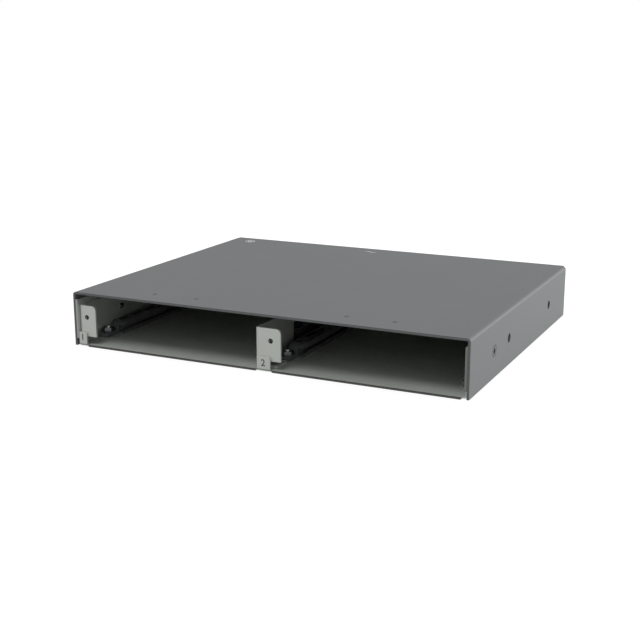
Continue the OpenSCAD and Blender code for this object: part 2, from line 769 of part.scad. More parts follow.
// Parts on the power supply's board
module mains_header() color([0.9, 0.9, 0.86]) corner_frame() translate(on_board(mains_header_share))
    difference() {
        block(mains_header_size);
        for (side = [-1, 1])
            translate([0, side * mains_header_size[1] / 4, mains_header_size[2] / 2])
                block([mains_header_size[0] / 3, mains_header_size[1] / 4, mains_header_size[2]]);
    }

module along_fuse() translate(on_board(fuse_share))
    translate([-fuse_l / 2, 0, clip_rise + clip_t + fuse_r]) children();

module fuse() color([0.8, 0.85, 0.85]) corner_frame() along_fuse() rotate([0, 90, 0]) {
    cylinder(r = fuse_r - clip_t / 2, h = fuse_l);
    for (z = [0, fuse_l - fuse_cap_l]) translate([0, 0, z]) cylinder(r = fuse_r, h = fuse_cap_l);
}

module fuse_clips() bright() corner_frame() along_fuse() for (x = [0, fuse_l - clip_l]) translate([x, 0, 0]) {
    arm_h = 2 * fuse_r;
    translate([0, -fuse_r - sheet_gap - clip_t, -fuse_r - clip_t])
        cube([clip_l, 2 * (fuse_r + sheet_gap + clip_t), clip_t]);
    for (y = [-fuse_r - sheet_gap - clip_t, fuse_r + sheet_gap])
        translate([0, y, -fuse_r - clip_t]) cube([clip_l, clip_t, arm_h]);
    translate([clip_l / 2 - clip_t, -clip_t, -fuse_r - clip_t - clip_rise])
        cube([2 * clip_t, 2 * clip_t, clip_rise + clip_t / 2]);
}

module suppression_capacitor() color([0.8, 0.7, 0.2]) corner_frame()
    translate(on_board(suppressor_share)) block(suppressor_size);

// Rectangular core with its legs upright, seen from the front
module core_frame(size, leg) rotate([90, 0, 0]) linear_extrude(size[1], center = true) difference() {
    translate([-size[0] / 2, 0]) square([size[0], size[2]]);
    translate([-size[0] / 2 + leg, leg]) square([size[0] - 2 * leg, size[2] - 2 * leg]);
}

// Winding of height h round a leg, with a small gap to it
module coil(leg, wrap, h) difference() {
    block([leg[0] + 2 * (coil_gap + wrap), leg[1] + 2 * (coil_gap + wrap), h]);
    translate([0, 0, -over]) block([leg[0] + 2 * coil_gap, leg[1] + 2 * coil_gap, h + 2 * over]);
}

module choke_core() ferrite() corner_frame()
    translate(on_board(choke_share)) core_frame(choke_size, choke_leg);

module choke_winding() copper() corner_frame() translate(on_board(choke_share)) for (side = [-1, 1])
    translate([side * (choke_size[0] - choke_leg) / 2, 0, choke_leg + coil_gap])
        coil([choke_leg, choke_size[1]], coil_wrap, choke_size[2] - 2 * choke_leg - 2 * coil_gap);

module bridge_rectifier() black_plastic() corner_frame() translate(on_board(bridge_share)) block(bridge_size);

module bulk_capacitor() color([0.1, 0.12, 0.3]) corner_frame()
    translate(on_board(bulk_share)) cylinder(r = bulk_r, h = bulk_h);

module heat_sink() color([0.75, 0.76, 0.78]) corner_frame() translate(on_board(sink_share)) difference() {
    union() {
        block(sink_size);
        for (k = [0:sink_fins - 1])
            translate([(k / (sink_fins - 1) - 1 / 2) * (sink_size[0] - sink_fin[0]), sink_fin[1] / 2, 0])
                block([sink_fin[0], sink_size[1] + sink_fin[1], sink_size[2]]);
    }
    translate([transistor_x, 0, transistor_hole_z]) facing_front(sink_size[1] + sink_fin[1])
        cylinder(r = m3_r + thread_gap, h = 2 * (sink_size[1] + sink_fin[1]));
}

// Everything of the transistor is set from the front face of the heat sink
module at_transistor() translate(on_board(sink_share))
    translate([transistor_x, -sink_size[1] / 2 - sheet_gap, 0]) children();

module switching_transistor() black_plastic() corner_frame() at_transistor() difference() {
    union() {
        translate([-transistor_size[0] / 2, -transistor_tab_t, transistor_lead_h])
            cube([transistor_size[0], transistor_tab_t, transistor_tab_h]);
        translate([-transistor_size[0] / 2, -transistor_tab_t - transistor_size[1], transistor_lead_h])
            cube([transistor_size[0], transistor_tab_t + transistor_size[1], transistor_size[2]]);
        for (k = [-1:1])
            translate([k * transistor_pitch, -transistor_tab_t, 0])
                block([transistor_lead[0], transistor_lead[1], transistor_lead_h + transistor_lead[1]]);
    }
    translate([0, 0, transistor_hole_z]) facing_front(over)
        cylinder(r = m3_r + pass_gap, h = transistor_tab_t + 2 * over);
}

module transistor_screw() bright() corner_frame() at_transistor()
    translate([0, -transistor_tab_t, transistor_hole_z]) facing_front() pan_screw(transistor_screw_l);

module transformer_core() ferrite() corner_frame() translate(on_board(transformer_share)) {
    core_frame(transformer_size, transformer_leg);
    translate([0, 0, transformer_leg / 2])
        block([transformer_core_leg, transformer_size[1], transformer_size[2] - transformer_leg]);
}

module transformer_winding() color([0.85, 0.75, 0.25]) corner_frame() translate(on_board(transformer_share))
    translate([0, 0, transformer_leg + coil_gap])
        coil([transformer_core_leg, transformer_size[1]], transformer_coil_wrap,
            transformer_size[2] - 2 * transformer_leg - 2 * coil_gap);

module output_capacitors() color([0.1, 0.12, 0.3]) corner_frame()
    for (share = output_cap_shares) translate(on_board(share)) cylinder(r = output_cap_r, h = output_cap_h);

module output_header() black_plastic() corner_frame()
    translate(on_board(output_header_share)) block(output_header_size);

// Mains inlet, screwed on from behind
module inlet_flange_outline() {
    ear = inlet_ear_h / 2;
    full = inlet_flange[1] / 2;
    end_x = inlet_flange[0] / 2;
    shoulder_x = inlet_shoulder_w / 2;
    polygon([
        [-end_x, -ear], [-shoulder_x, -full], [shoulder_x, -full], [end_x, -ear],
        [end_x, ear], [shoulder_x, full], [-shoulder_x, full], [-end_x, ear]
    ]);
}

module inlet_well_outline() {
    w = inlet_well[0] / 2;
    h = inlet_well[1] / 2;
    polygon([
        [-w, -h], [w, -h], [w, h - inlet_bevel],
        [w - inlet_bevel, h], [inlet_bevel - w, h], [-w, h - inlet_bevel]
    ]);
}

// Places of the three pins: line, neutral, earth
pin_places = [[-pin_half_pitch, -pin_offset], [pin_half_pitch, -pin_offset], [0, pin_offset]];
module at_pins() for (place = pin_places) translate([inlet_x + place[0], 0, inlet_z + place[1]]) children();

module inlet_body() black_plastic() corner_frame() difference() {
    translate([inlet_x, 0, inlet_z]) {
        upright(rear_y, inlet_flange_t) inlet_flange_outline();
        upright(inlet_front_y, inlet_depth) square(inlet_core, center = true);
    }
    translate([inlet_x, 0, inlet_z])
        upright(inlet_front_y + inlet_floor_t, inlet_face_y - inlet_front_y - inlet_floor_t + over)
            inlet_well_outline();
    at_inlet_screws() facing_rear(inlet_face_y) flat_seat(inlet_head_h, inlet_flange_t + over);
    at_pins() upright(inlet_front_y - over, inlet_floor_t + 2 * over)
        square(pin_size + 2 * [thread_gap, thread_gap], center = true);
}

module inlet_pins() bright() corner_frame() at_pins() {
    upright(inlet_front_y, inlet_face_y - pin_recess - inlet_front_y) square(pin_size, center = true);
    upright(inlet_front_y - pin_tab_l, pin_tab_l + inlet_floor_t / 2)
        square([pin_tab[0], pin_size[1]], center = true);
    upright(inlet_front_y - pin_tab_l, pin_tab_l - sheet_gap) square(pin_tab, center = true);
}

module inlet_screws() bright() corner_frame()
    at_inlet_screws() facing_rear(inlet_face_y) flat_screw(inlet_head_h, inlet_screw_l);

module inlet_nuts() bright() corner_frame()
    at_inlet_screws() facing_front(rear_in_y) hex_nut(m3_nut_af, m3_nut_h, m3_r);

// Earth connection: a turned stud whose hexagonal collar is clamped to the rear wall by the nut inside
module at_earth(y) translate([earth_x, y, earth_z]) children();

module earth_stud() bright() corner_frame() {
    at_earth(rear_y - earth_inner_l) facing_rear()
        cylinder(r = m4_r, h = earth_collar_y - rear_y + earth_inner_l + sheet_lap);
    at_earth(earth_collar_y) facing_rear() hex_rod(m4_nut_af, m4_nut_h);
    at_earth(earth_collar_y + m4_nut_h - sheet_lap) facing_rear()
        cylinder(r = earth_relief_r, h = earth_relief_w + 2 * sheet_lap);
    at_earth(earth_collar_y + m4_nut_h + earth_relief_w) facing_rear()
        cylinder(r = m4_r, h = all_d - earth_collar_y - m4_nut_h - earth_relief_w);
}

module earth_nuts() bright() corner_frame() {
    at_earth(rear_in_y) facing_front() hex_nut(m4_nut_af, m4_nut_h, m4_r);
    at_earth(lug_y) facing_front() hex_nut(m4_nut_af, m4_nut_h, m4_r);
}

module earth_washer() bright() corner_frame() at_earth(rear_y) facing_rear() difference() {
    cylinder(r = m4_washer_r, h = m4_washer_t);
    translate([0, 0, -over]) cylinder(r = m4_r + pass_gap, h = m4_washer_t + 2 * over);
    for (k = [1:washer_teeth]) rotate(k * 360 / washer_teeth) translate([m4_washer_r, 0, -over])
        block([2 * washer_tooth_d, washer_tooth_d, m4_washer_t + 2 * over]);
}

module earth_lug() bright() corner_frame() at_earth(lug_y) difference() {
    union() {
        facing_rear() cylinder(r = lug_r, h = lug_t);
        translate([0, 0, -lug_neck[1] / 2]) cube([lug_neck[0] + sheet_lap, lug_t, lug_neck[1]]);
        translate([0, lug_t - lug_barrel_r, 0]) facing_right(lug_neck[0])
            cylinder(r = lug_barrel_r, h = lug_barrel_l);
    }
    facing_rear(-over) cylinder(r = m4_r + pass_gap, h = lug_t + 2 * over);
    translate([0, lug_t - lug_barrel_r, 0]) facing_right(lug_neck[0] + lug_t)
        cylinder(r = lead_r + thread_gap, h = lug_barrel_l);
}

// Route of a lead: curves that join the middles of the straights between the chosen points
function curve(a, b, c, t) = (1 - t) * (1 - t) * a + 2 * t * (1 - t) * b + t * t * c;
function route(p) = let (last = len(p) - 1) concat([
    for (i = [1:last - 1])
        let (a = i == 1 ? p[0] : (p[i - 1] + p[i]) / 2, c = i == last - 1 ? p[last] : (p[i] + p[i + 1]) / 2)
            for (k = [0:lead_rings - 1]) curve(a, p[i], c, k / lead_rings)
], [p[last]]);
function unit(v) = v / norm(v);
function along(path, i) = unit(path[min(i + 1, len(path) - 1)] - path[max(i - 1, 0)]);
function square_to(v, direction) = unit(v - (v * direction) * direction);
function first_side(direction) = square_to(abs(direction[2]) > 0.5 ? [1, 0, 0] : [0, 0, 1], direction);

// Round insulation with flat ends, its rings carried along the route without twist
module lead(points) {
    path = route(points);
    last = len(path) - 1;
    sides = [
        for (i = 0, v = first_side(along(path, 0)); i <= last;
            v = square_to(v, along(path, i + 1)), i = i + 1) v
    ];
    rings = [
        for (i = [0:last], k = [0:lead_sides - 1])
            let (a = 360 * k / lead_sides)
                path[i] + lead_r * (cos(a) * sides[i] + sin(a) * cross(along(path, i), sides[i]))
    ];
    polyhedron(points = rings, faces = concat(
        [[for (k = [0:lead_sides - 1]) k]],
        [[for (k = [0:lead_sides - 1]) (last + 1) * lead_sides - 1 - k]],
        [
            for (i = [0:last - 1], k = [0:lead_sides - 1])
                let (a = i * lead_sides + k, b = i * lead_sides + (k + 1) % lead_sides)
                    each [[a, a + lead_sides, b], [b, a + lead_sides, b + lead_sides]]
        ]
    ));
}

// Insulated push-on sleeve over one tab of the inlet, and where its lead leaves it
function lead_start(place) = [inlet_x + place[0], sleeve_y + sheet_lap, inlet_z + place[1]];
module sleeve(place) translate([inlet_x + place[0], sleeve_y, inlet_z + place[1]]) difference() {
    translate([-sleeve_size[0] / 2, 0, -sleeve_size[2] / 2]) cube(sleeve_size);
    upright(inlet_front_y - pin_tab_l - pass_gap - sleeve_y, sleeve_size[1])
        square(pin_tab + 2 * [pass_gap, pass_gap], center = true);
}

module earth_lead() color([0.3, 0.6, 0.15]) corner_frame() {
    start = [earth_end_x - lug_barrel_l / 2, lug_y + lug_t - lug_barrel_r, earth_z];
    end = lead_start(pin_places[2]);
    lead([start, start + earth_route[0], end + earth_route[1], end + earth_route[2], end]);
    sleeve(pin_places[2]);
}

module mains_leads() color([0.35, 0.2, 0.12]) corner_frame() for (i = [0, 1]) {
    start = lead_start(pin_places[i]);
    place = on_board(mains_header_share);
    pole_y = (i - 1 / 2) * mains_header_size[1] / 2;
    end = [place[0] - mains_header_size[0] / 2, place[1] + pole_y, place[2] + header_entry_z];
    lead([start, start + mains_routes[i][0], start + mains_routes[i][1], end + mains_routes[i][2], end]);
    sleeve(pin_places[i]);
}

module supply_leads() color([0.6, 0.1, 0.08]) corner_frame() for (side = [-1, 1]) {
    place = on_board(output_header_share);
    start = [place[0] + side * supply_lead_half, place[1], place[2] + output_header_size[2]];
    end = [
        backplane_header_x + side * supply_lead_half,
        backplane_y + board_t + backplane_header_d,
        backplane_header_z
    ];
    lead([start, start + supply_route[0], end + supply_route[1], end]);
}

top_cover();
base_tray();
cover_side_screws();
cover_rear_screws();
side_clinch_nuts();
left_slot_bracket();
centre_slot_bracket();
card_guide_1_left();
card_guide_1_right();
card_guide_2_left();
card_guide_2_right();
card_guide_studs();
card_guide_nuts();
bulkhead();
bulkhead_studs();
bulkhead_nuts();
backplane_board();
backplane_spacers();
backplane_screws();
backplane_header();
module_connector_1();
module_connector_2();
supply_board();
supply_standoffs();
supply_screws();
insulator_sheet();
mains_header();
fuse();
fuse_clips();
suppression_capacitor();
choke_core();
choke_winding();
bridge_rectifier();
bulk_capacitor();
switching_transistor();
transistor_screw();
heat_sink();
transformer_core();
transformer_winding();
output_capacitors();
output_header();
inlet_body();
inlet_pins();
inlet_screws();
inlet_nuts();
earth_stud();
earth_nuts();
earth_washer();
earth_lug();
earth_lead();
mains_leads();
supply_leads();
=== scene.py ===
import math

import bmesh
import bpy
from mathutils import Matrix, Vector


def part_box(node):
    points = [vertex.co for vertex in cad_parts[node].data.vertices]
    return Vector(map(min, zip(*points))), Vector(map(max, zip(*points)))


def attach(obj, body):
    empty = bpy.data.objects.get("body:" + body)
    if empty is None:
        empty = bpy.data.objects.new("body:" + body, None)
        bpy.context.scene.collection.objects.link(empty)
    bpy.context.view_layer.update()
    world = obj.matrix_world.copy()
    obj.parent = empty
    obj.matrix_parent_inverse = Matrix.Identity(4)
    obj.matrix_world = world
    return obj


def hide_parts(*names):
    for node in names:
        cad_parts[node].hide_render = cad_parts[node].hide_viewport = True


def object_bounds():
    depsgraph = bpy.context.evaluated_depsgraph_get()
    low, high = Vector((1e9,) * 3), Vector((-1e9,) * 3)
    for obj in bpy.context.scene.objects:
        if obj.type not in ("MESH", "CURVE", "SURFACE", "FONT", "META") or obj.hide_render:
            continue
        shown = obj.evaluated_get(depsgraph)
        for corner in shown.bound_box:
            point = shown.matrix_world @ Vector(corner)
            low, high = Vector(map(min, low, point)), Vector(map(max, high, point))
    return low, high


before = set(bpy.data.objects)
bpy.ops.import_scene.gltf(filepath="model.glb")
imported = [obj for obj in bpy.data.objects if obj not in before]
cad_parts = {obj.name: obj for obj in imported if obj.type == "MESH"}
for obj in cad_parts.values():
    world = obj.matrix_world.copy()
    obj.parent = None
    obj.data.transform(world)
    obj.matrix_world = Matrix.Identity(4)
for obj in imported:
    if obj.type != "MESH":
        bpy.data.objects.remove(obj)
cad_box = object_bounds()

# Base tray: floor, side walls, rear wall and the two number tabs, folded from one zinc-plated
# blank. The punch leaves its edges a little round. Light and shade are painted on its front cut
# edges: painted shade along the floor's edge, a painted highlight on the left wall's edge and
# painted shade on the right wall's edge. Rolling and plating leave a faint grain and clouds.
mm = 0.001
sheared_edge = 0.14


def node_in(tree, kind, sockets=(), **settings):
    """New node of that kind: each socket takes its value or a link from another node's output."""
    node = tree.nodes.new(kind)
    for name, value in settings.items():
        setattr(node, name, value)
    for socket, value in dict(sockets).items():
        if isinstance(value, bpy.types.NodeSocket):
            tree.links.new(value, node.inputs[socket])
        else:
            node.inputs[socket].default_value = value
    return node


def math_in(tree, operation, first, second):
    """Output of a Math node on two numbers or outputs."""
    return node_in(tree, "ShaderNodeMath", {0: first, 1: second}, operation=operation).outputs[0]


def surface(name, colour, metallic=0.0, roughness=0.5, drift=0.05, cloud=3, depth=0.004, grain=0.3,
            pull=(1, 1, 1), patchy=0.05, **sockets):
    """Finish whose colour and gloss drift over cloud, with a bump by depth and grain, in mm."""
    finish = bpy.data.materials.new(name)
    finish.use_nodes = True
    tree = finish.node_tree
    shader = tree.nodes["Principled BSDF"]
    shader.inputs["Metallic"].default_value = metallic
    for socket, value in sockets.items():
        shader.inputs[socket.replace("_", " ")].default_value = value
    place = node_in(tree, "ShaderNodeTexCoord").outputs["Object"]
    pulled = node_in(tree, "ShaderNodeMapping", {"Vector": place, "Scale": pull}).outputs["Vector"]

    def noise(size, detail):
        sockets = {"Vector": pulled, "Scale": 1 / (size * mm), "Detail": detail}
        return node_in(tree, "ShaderNodeTexNoise", sockets).outputs["Fac"]

    dark, light = [[min(1, c * (1 + way * 2 * drift)) for c in colour] + [1] for way in (-1, 1)]
    blend = {0: noise(cloud, 5), 6: dark, 7: light}
    shades = node_in(tree, "ShaderNodeMix", blend, data_type="RGBA")
    tree.links.new(shades.outputs[2], shader.inputs["Base Color"])
    gloss = node_in(tree, "ShaderNodeMapRange", {
        "Value": noise(cloud / 3, 3), "From Min": 0.3, "From Max": 0.7,
        "To Min": max(0.02, roughness - patchy), "To Max": roughness + patchy})
    tree.links.new(gloss.outputs["Result"], shader.inputs["Roughness"])
    if depth:
        bump = node_in(tree, "ShaderNodeBump", {"Distance": depth * mm, "Height": noise(grain, 3)})
        tree.links.new(bump.outputs["Normal"], shader.inputs["Normal"])
    return finish


def in_scene(name, data):
    """New object of the scene."""
    thing = bpy.data.objects.new(name, data)
    bpy.context.scene.collection.objects.link(thing)
    return thing


def piece_of(work, name):
    """Object, sized in millimetres until it is settled, from a mesh under construction."""
    mesh = bpy.data.meshes.new(name)
    work.to_mesh(mesh)
    work.free()
    return in_scene(name, mesh)


def plain(piece):
    """The piece with its modifiers worked into its mesh."""
    bpy.context.view_layer.update()
    graph = bpy.context.evaluated_depsgraph_get()
    mesh = bpy.data.meshes.new_from_object(piece.evaluated_get(graph))
    piece.modifiers.clear()
    piece.data = mesh
    return piece


def smooth(piece, angle=40):
    """Shades the piece smooth, but for its sharp edges, with its large faces flat."""
    piece.data.shade_smooth()
    piece.data.set_sharp_from_angle(angle=math.radians(angle))
    weigh = piece.modifiers.new("Flat faces", "WEIGHTED_NORMAL")
    weigh.keep_sharp = True
    return plain(piece)


def settle(piece, finish, slot, *nodes):
    """Takes a finished piece to metres, with its finish, on the chassis, in place of its nodes."""
    piece.data.materials.clear()
    piece.data.materials.append(finish)
    piece.data.transform(Matrix.Scale(mm, 4))
    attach(piece, "root")
    if nodes:
        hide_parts(*nodes)


def node_work(node):
    """The node's mesh in millimetres, its triangles joined to one skin, its flats to one face."""
    work = bmesh.new()
    work.from_mesh(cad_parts[node].data)
    bmesh.ops.scale(work, vec=Vector((1, 1, 1)) / mm, verts=work.verts)
    bmesh.ops.remove_doubles(work, verts=work.verts, dist=0.002)
    bmesh.ops.dissolve_limit(work, angle_limit=math.radians(0.5), verts=work.verts,
                             edges=work.edges)
    return work


def rounded(piece, edge, steps=2):
    """The piece with every sharp edge rounded to that radius."""
    bevel = piece.modifiers.new("Rounded edges", "BEVEL")
    bevel.width = edge
    bevel.segments = steps
    bevel.limit_method = "ANGLE"
    bevel.angle_limit = math.radians(35)
    bevel.miter_outer = "MITER_ARC"
    return smooth(plain(piece))


def dress(node, finish, slot, edge, steps=2):
    """Puts the node's own shape in its place, its edges rounded as its making leaves them."""
    settle(rounded(piece_of(node_work(node), node + "_made"), edge, steps), finish, slot, node)


def tint(finish, where, shade):
    """Turns the finish to another shade where the factor is 1."""
    tree = finish.node_tree
    colour = tree.nodes["Principled BSDF"].inputs["Base Color"]
    blend = node_in(tree, "ShaderNodeMix", {
        0: where, 6: colour.links[0].from_socket, 7: (*shade, 1)}, data_type="RGBA")
    tree.links.new(blend.outputs[2], colour)


def paint_light_in_box(finish, low, high, shade):
    """Paints light or shade into the finish: another shade in the box between two points, in
    millimetres.
    """
    tree = finish.node_tree
    place = node_in(tree, "ShaderNodeTexCoord").outputs["Object"]
    axes = node_in(tree, "ShaderNodeSeparateXYZ", {"Vector": place}).outputs
    inside = 1.0
    for axis in range(3):
        for end, operation in ((low, "GREATER_THAN"), (high, "LESS_THAN")):
            test = math_in(tree, operation, axes[axis], end[axis] * mm)
            inside = math_in(tree, "MULTIPLY", inside, test)
    tint(finish, inside, shade)


zinc, tray_zinc_painted_light = [
    surface(name, (0.57, 0.60, 0.56), metallic=0.45, roughness=0.46, cloud=16, depth=0.006,
            grain=0.5, pull=(0.25, 1, 1), patchy=0.03)
    for name in ("Zinc plated sheet", "Zinc plated tray with painted edge light and shade")]
edge_front = cad_box[0][1] / mm - 1
edge_back = cad_box[0][1] / mm + 0.3
wall_top = cad_box[1][2] / mm
floor_top = 1.05
wall_foot = 0.5
wall_inner = 102.5
wall_outer = 103.75
floor_edge_painted_shade = (0.09, 0.09, 0.085)
wall_edges_painted_light = {-1: (0.42, 0.43, 0.41), 1: (0.20, 0.20, 0.19)}
# Painted shade on the floor's front cut edge, standing in for the contact shadow under the tray.
paint_light_in_box(tray_zinc_painted_light, (-wall_outer, edge_front, -1), (wall_outer, edge_back, floor_top), floor_edge_painted_shade)
# Painted light on the walls' front cut edges: a painted highlight on the left one, painted shade on
# the right one.
for side, shade in wall_edges_painted_light.items():
    near, far = sorted((side * wall_inner, side * wall_outer))
    paint_light_in_box(tray_zinc_painted_light, (near, edge_front, wall_foot), (far, edge_back, wall_top), shade)
dress("base_tray", tray_zinc_painted_light, "plated_steel", sheared_edge)

# Numbers of the two slots, screen printed in dark ink on the front of the number tabs.
number_height = 3.3
ink_thickness = 0.02
number_places = {"1": (4.6, 4.8), "2": (108.5, 4.4)}
ink = surface("Dark printing ink", (0.035, 0.037, 0.04), roughness=0.55, drift=0.1, cloud=0.8,
              grain=0.15)


def corner(x, y, z):
    """Point that is measured from the left, the front and the table, in the frame's millimetres."""
    return Vector((x + cad_box[0][0] / mm, y + cad_box[0][1] / mm, z))


to_front = Matrix.Rotation(math.radians(90), 4, "X")
for digit, (x, z) in number_places.items():
    outline = bpy.data.curves.new("outline", "FONT")
    outline.body = digit
    outline.extrude = ink_thickness
    outline.offset = 0.012
    outline.resolution_u = 6
    sign = in_scene("sign", outline)
    graph = bpy.context.evaluated_depsgraph_get()
    shape = bpy.data.meshes.new_from_object(sign.evaluated_get(graph))
    bpy.data.objects.remove(sign)
    low, high = [Vector([pick(v.co[i] for v in shape.vertices) for i in (0, 1)])
                 for pick in (min, max)]
    grow = number_height / (high.y - low.y)
    middle = ((low + high) / 2).to_3d()
    shape.transform(Matrix.Translation(corner(x, 0, z)) @ to_front
                    @ Matrix.Diagonal((grow, grow, 1, 1)) @ Matrix.Translation(-middle))
    settle(in_scene("number_" + digit, shape), ink, "painted_steel")

# Slot brackets: two angles of the same plated sheet. One lies against the left wall, the other
# stands on a foot that is welded to the floor. Each has a tab with a drawn and tapped M3 hole,
# which takes the thumb screw of a module.
m3_pitch = 0.5
thread_depth = 0.13
weld_r = 1.7
weld_spots = ((110.4, 7.2), (110.4, 11.8), (106.4, 24), (106.4, 34))
weld_places = [corner(x, y, 2.2) for x, y in weld_spots]
tab_holes = [corner(6.95, 1.2, 15), corner(111.95, 1.2, 15)]
tab_hole_r = 1.25
tab_hole_l = 2.5
thread_sides = 20
thread_rows = 4
upward = Vector((0, 0, 1))
frontward = Vector((0, -1, 0))


def turned(work, profile, sides=32, closed=False, wave=None):
    """Adds a body of revolution about Z from (radius, height) points; wave may change a radius."""
    rings = []
    for radius, height in profile:
        count = 1 if radius < 1e-6 else sides
        ring = []
        for k in range(count):
            angle = 2 * math.pi * k / sides
            reach = radius if wave is None else wave(radius, height, k / sides)
            ring.append(work.verts.new((reach * math.cos(angle), reach * math.sin(angle), height)))
        rings.append(ring)
    for near, far in zip(rings, rings[1:] + rings[:1] * closed):
        for k in range(sides):
            corners = ((near, 0), (near, 1), (far, 1), (far, 0))
            loop = list(dict.fromkeys(ring[(k + step) % len(ring)] for ring, step in corners))
            if len(loop) > 2:
                work.faces.new(loop)
    bmesh.ops.recalc_face_normals(work, faces=work.faces)
    return work


def threaded(work, radius, depth, pitch, base, length, bore=None):
    """Adds a screw thread along Z. With bore it is the thread inside a hole of that radius."""
    steps = max(thread_rows, round(length / pitch * thread_rows))
    sign = -1 if bore else 1
    root = radius if bore else radius - depth
    heights = [base + length * k / steps for k in range(steps + 1)]

    def ridge(reach, height, share):
        if abs(reach - root) > 1e-6:
            return reach
        climb = ((height - base) / pitch - share) % 1
        runout = min(1, (height - base) / pitch, (base + length - height) / pitch)
        return root + sign * depth * runout * (1 - abs(2 * climb - 1))

    profile = [(root, height) for height in heights]
    if bore:
        profile += [(bore, heights[-1]), (bore, heights[0])]
    else:
        profile = [(0, heights[0])] + profile + [(0, heights[-1])]
    return turned(work, profile, thread_sides, closed=bool(bore), wave=ridge)


def copies_tree():
    """Sets a template on every point of a mesh, faced as the point says, with a loose twist."""
    tree = bpy.data.node_groups.new("Copies on points", "GeometryNodeTree")
    for name, kind in (("Points", "Geometry"), ("Template", "Object"), ("Loose twist", "Float"),
                       ("Seed", "Int"), ("Finish", "Material")):
        tree.interface.new_socket(name, in_out="INPUT", socket_type="NodeSocket" + kind)
    tree.interface.new_socket("Copies", in_out="OUTPUT", socket_type="NodeSocketGeometry")
    given = node_in(tree, "NodeGroupInput").outputs
    template = node_in(tree, "GeometryNodeObjectInfo", {"Object": given["Template"]})
    facing = node_in(tree, "GeometryNodeInputNamedAttribute", {"Name": "facing"},
                     data_type="FLOAT_VECTOR")
    faced = node_in(tree, "FunctionNodeEulerToRotation", {"Euler": facing.outputs["Attribute"]})
    chance = node_in(tree, "FunctionNodeRandomValue", {
        3: given["Loose twist"], "Seed": given["Seed"]}, data_type="FLOAT")
    about_z = node_in(tree, "ShaderNodeCombineXYZ", {"Z": chance.outputs[1]})
    twist = node_in(tree, "FunctionNodeEulerToRotation", {"Euler": about_z.outputs["Vector"]})
    both = node_in(tree, "FunctionNodeRotateRotation", {
        "Rotation": faced.outputs["Rotation"], "Rotate By": twist.outputs["Rotation"]},
        rotation_space="LOCAL")
    setter = node_in(tree, "GeometryNodeInstanceOnPoints", {
        "Points": given["Points"], "Instance": template.outputs["Geometry"],
        "Rotation": both.outputs["Rotation"]})
    real = node_in(tree, "GeometryNodeRealizeInstances", {"Geometry": setter.outputs["Instances"]})
    painted = node_in(tree, "GeometryNodeSetMaterial", {
        "Geometry": real.outputs["Geometry"], "Material": given["Finish"]})
    node_in(tree, "NodeGroupOutput", {"Copies": painted.outputs["Geometry"]})
    return tree


set_copies = copies_tree()


def copies(template, name, places, facings, finish, slot, *nodes, seed=0):
    """One piece of like parts, which uses the template up. A seed gives each a twist by chance."""
    mesh = bpy.data.meshes.new(name)
    mesh.from_pydata([tuple(place) for place in places], [], [])
    facing = mesh.attributes.new("facing", "FLOAT_VECTOR", "POINT")
    for k in range(len(places)):
        way = facings if isinstance(facings, Vector) else facings[k]
        facing.data[k].vector = (-way.y * math.pi / 2, way.x * math.pi / 2, 0)
    host = in_scene(name, mesh)
    spread = host.modifiers.new("Copies", "NODES")
    spread.node_group = set_copies
    twist = math.pi if seed else 0.0
    values = {"Template": template, "Loose twist": twist, "Seed": seed, "Finish": finish}
    for item in set_copies.interface.items_tree:
        if item.in_out == "INPUT" and item.name in values:
            spread[item.identifier] = values[item.name]
    plain(host)
    bpy.data.objects.remove(template)
    settle(host, finish, slot, *nodes)


for bracket in ("left_slot_bracket", "centre_slot_bracket"):
    dress(bracket, zinc, "plated_steel", sheared_edge)

weld_metal = surface("Spot weld mark", (0.33, 0.32, 0.30), metallic=0.7, drift=0.2, cloud=1.5,
                     depth=0.01)
weld = turned(bmesh.new(), [(0, -0.1), (weld_r, -0.1), (weld_r, 0.03), (weld_r - 0.35, 0.09),
                            (weld_r - 0.7, 0.03), (0, 0.02)], sides=24)
copies(smooth(piece_of(weld, "weld_form")), "bracket_weld_marks", weld_places, upward, weld_metal,
       "plated_steel")


def metal(name, colour, roughness, cloud=2, grain=0.2, **more):
    """Finish of bare or plated metal."""
    return surface(name, colour, 1.0, roughness, cloud=cloud, grain=grain, **more)


tab_thread = threaded(bmesh.new(), tab_hole_r + 0.02, thread_depth, m3_pitch, -tab_hole_l + 0.1,
                      tab_hole_l - 0.2, bore=tab_hole_r + 0.06)
bright = metal("Bright zinc", (0.70, 0.71, 0.72), 0.28, depth=0.003)
copies(smooth(piece_of(tab_thread, "tab_thread_form")), "tab_threads", tab_holes, frontward, bright,
       "plated_steel")

# Clinch nuts: four round M4 nuts with a knurled shank, pressed into the side walls behind the
# round holes of the cover, for the screws of rack ears or a wall bracket.
m4_pitch = 0.7
knurls = 30
rightward = Vector((1, 0, 0))
leftward = Vector((-1, 0, 0))


def solids_of(node):
    """Boxes (lowest and highest corner, in millimetres) of a node's solids, left first."""
    work = node_work(node)
    left = set(work.verts)
    boxes = []
    while left:
        reach = [left.pop()]
        points = []
        while reach:
            vert = reach.pop()
            points.append(vert.co.copy())
            for edge in vert.link_edges:
                other = edge.other_vert(vert)
                if other in left:
                    left.remove(other)
                    reach.append(other)
        low = Vector([min(p[i] for p in points) for i in range(3)])
        boxes.append((low, Vector([max(p[i] for p in points) for i in range(3)])))
    work.free()
    return sorted(boxes, key=lambda box: (round(box[0].x, 1), round(box[0].y, 1)))


def extent(node, way):
    """Length of the node's first solid along a direction."""
    low, high = solids_of(node)[0]
    return abs(way.dot(high - low))


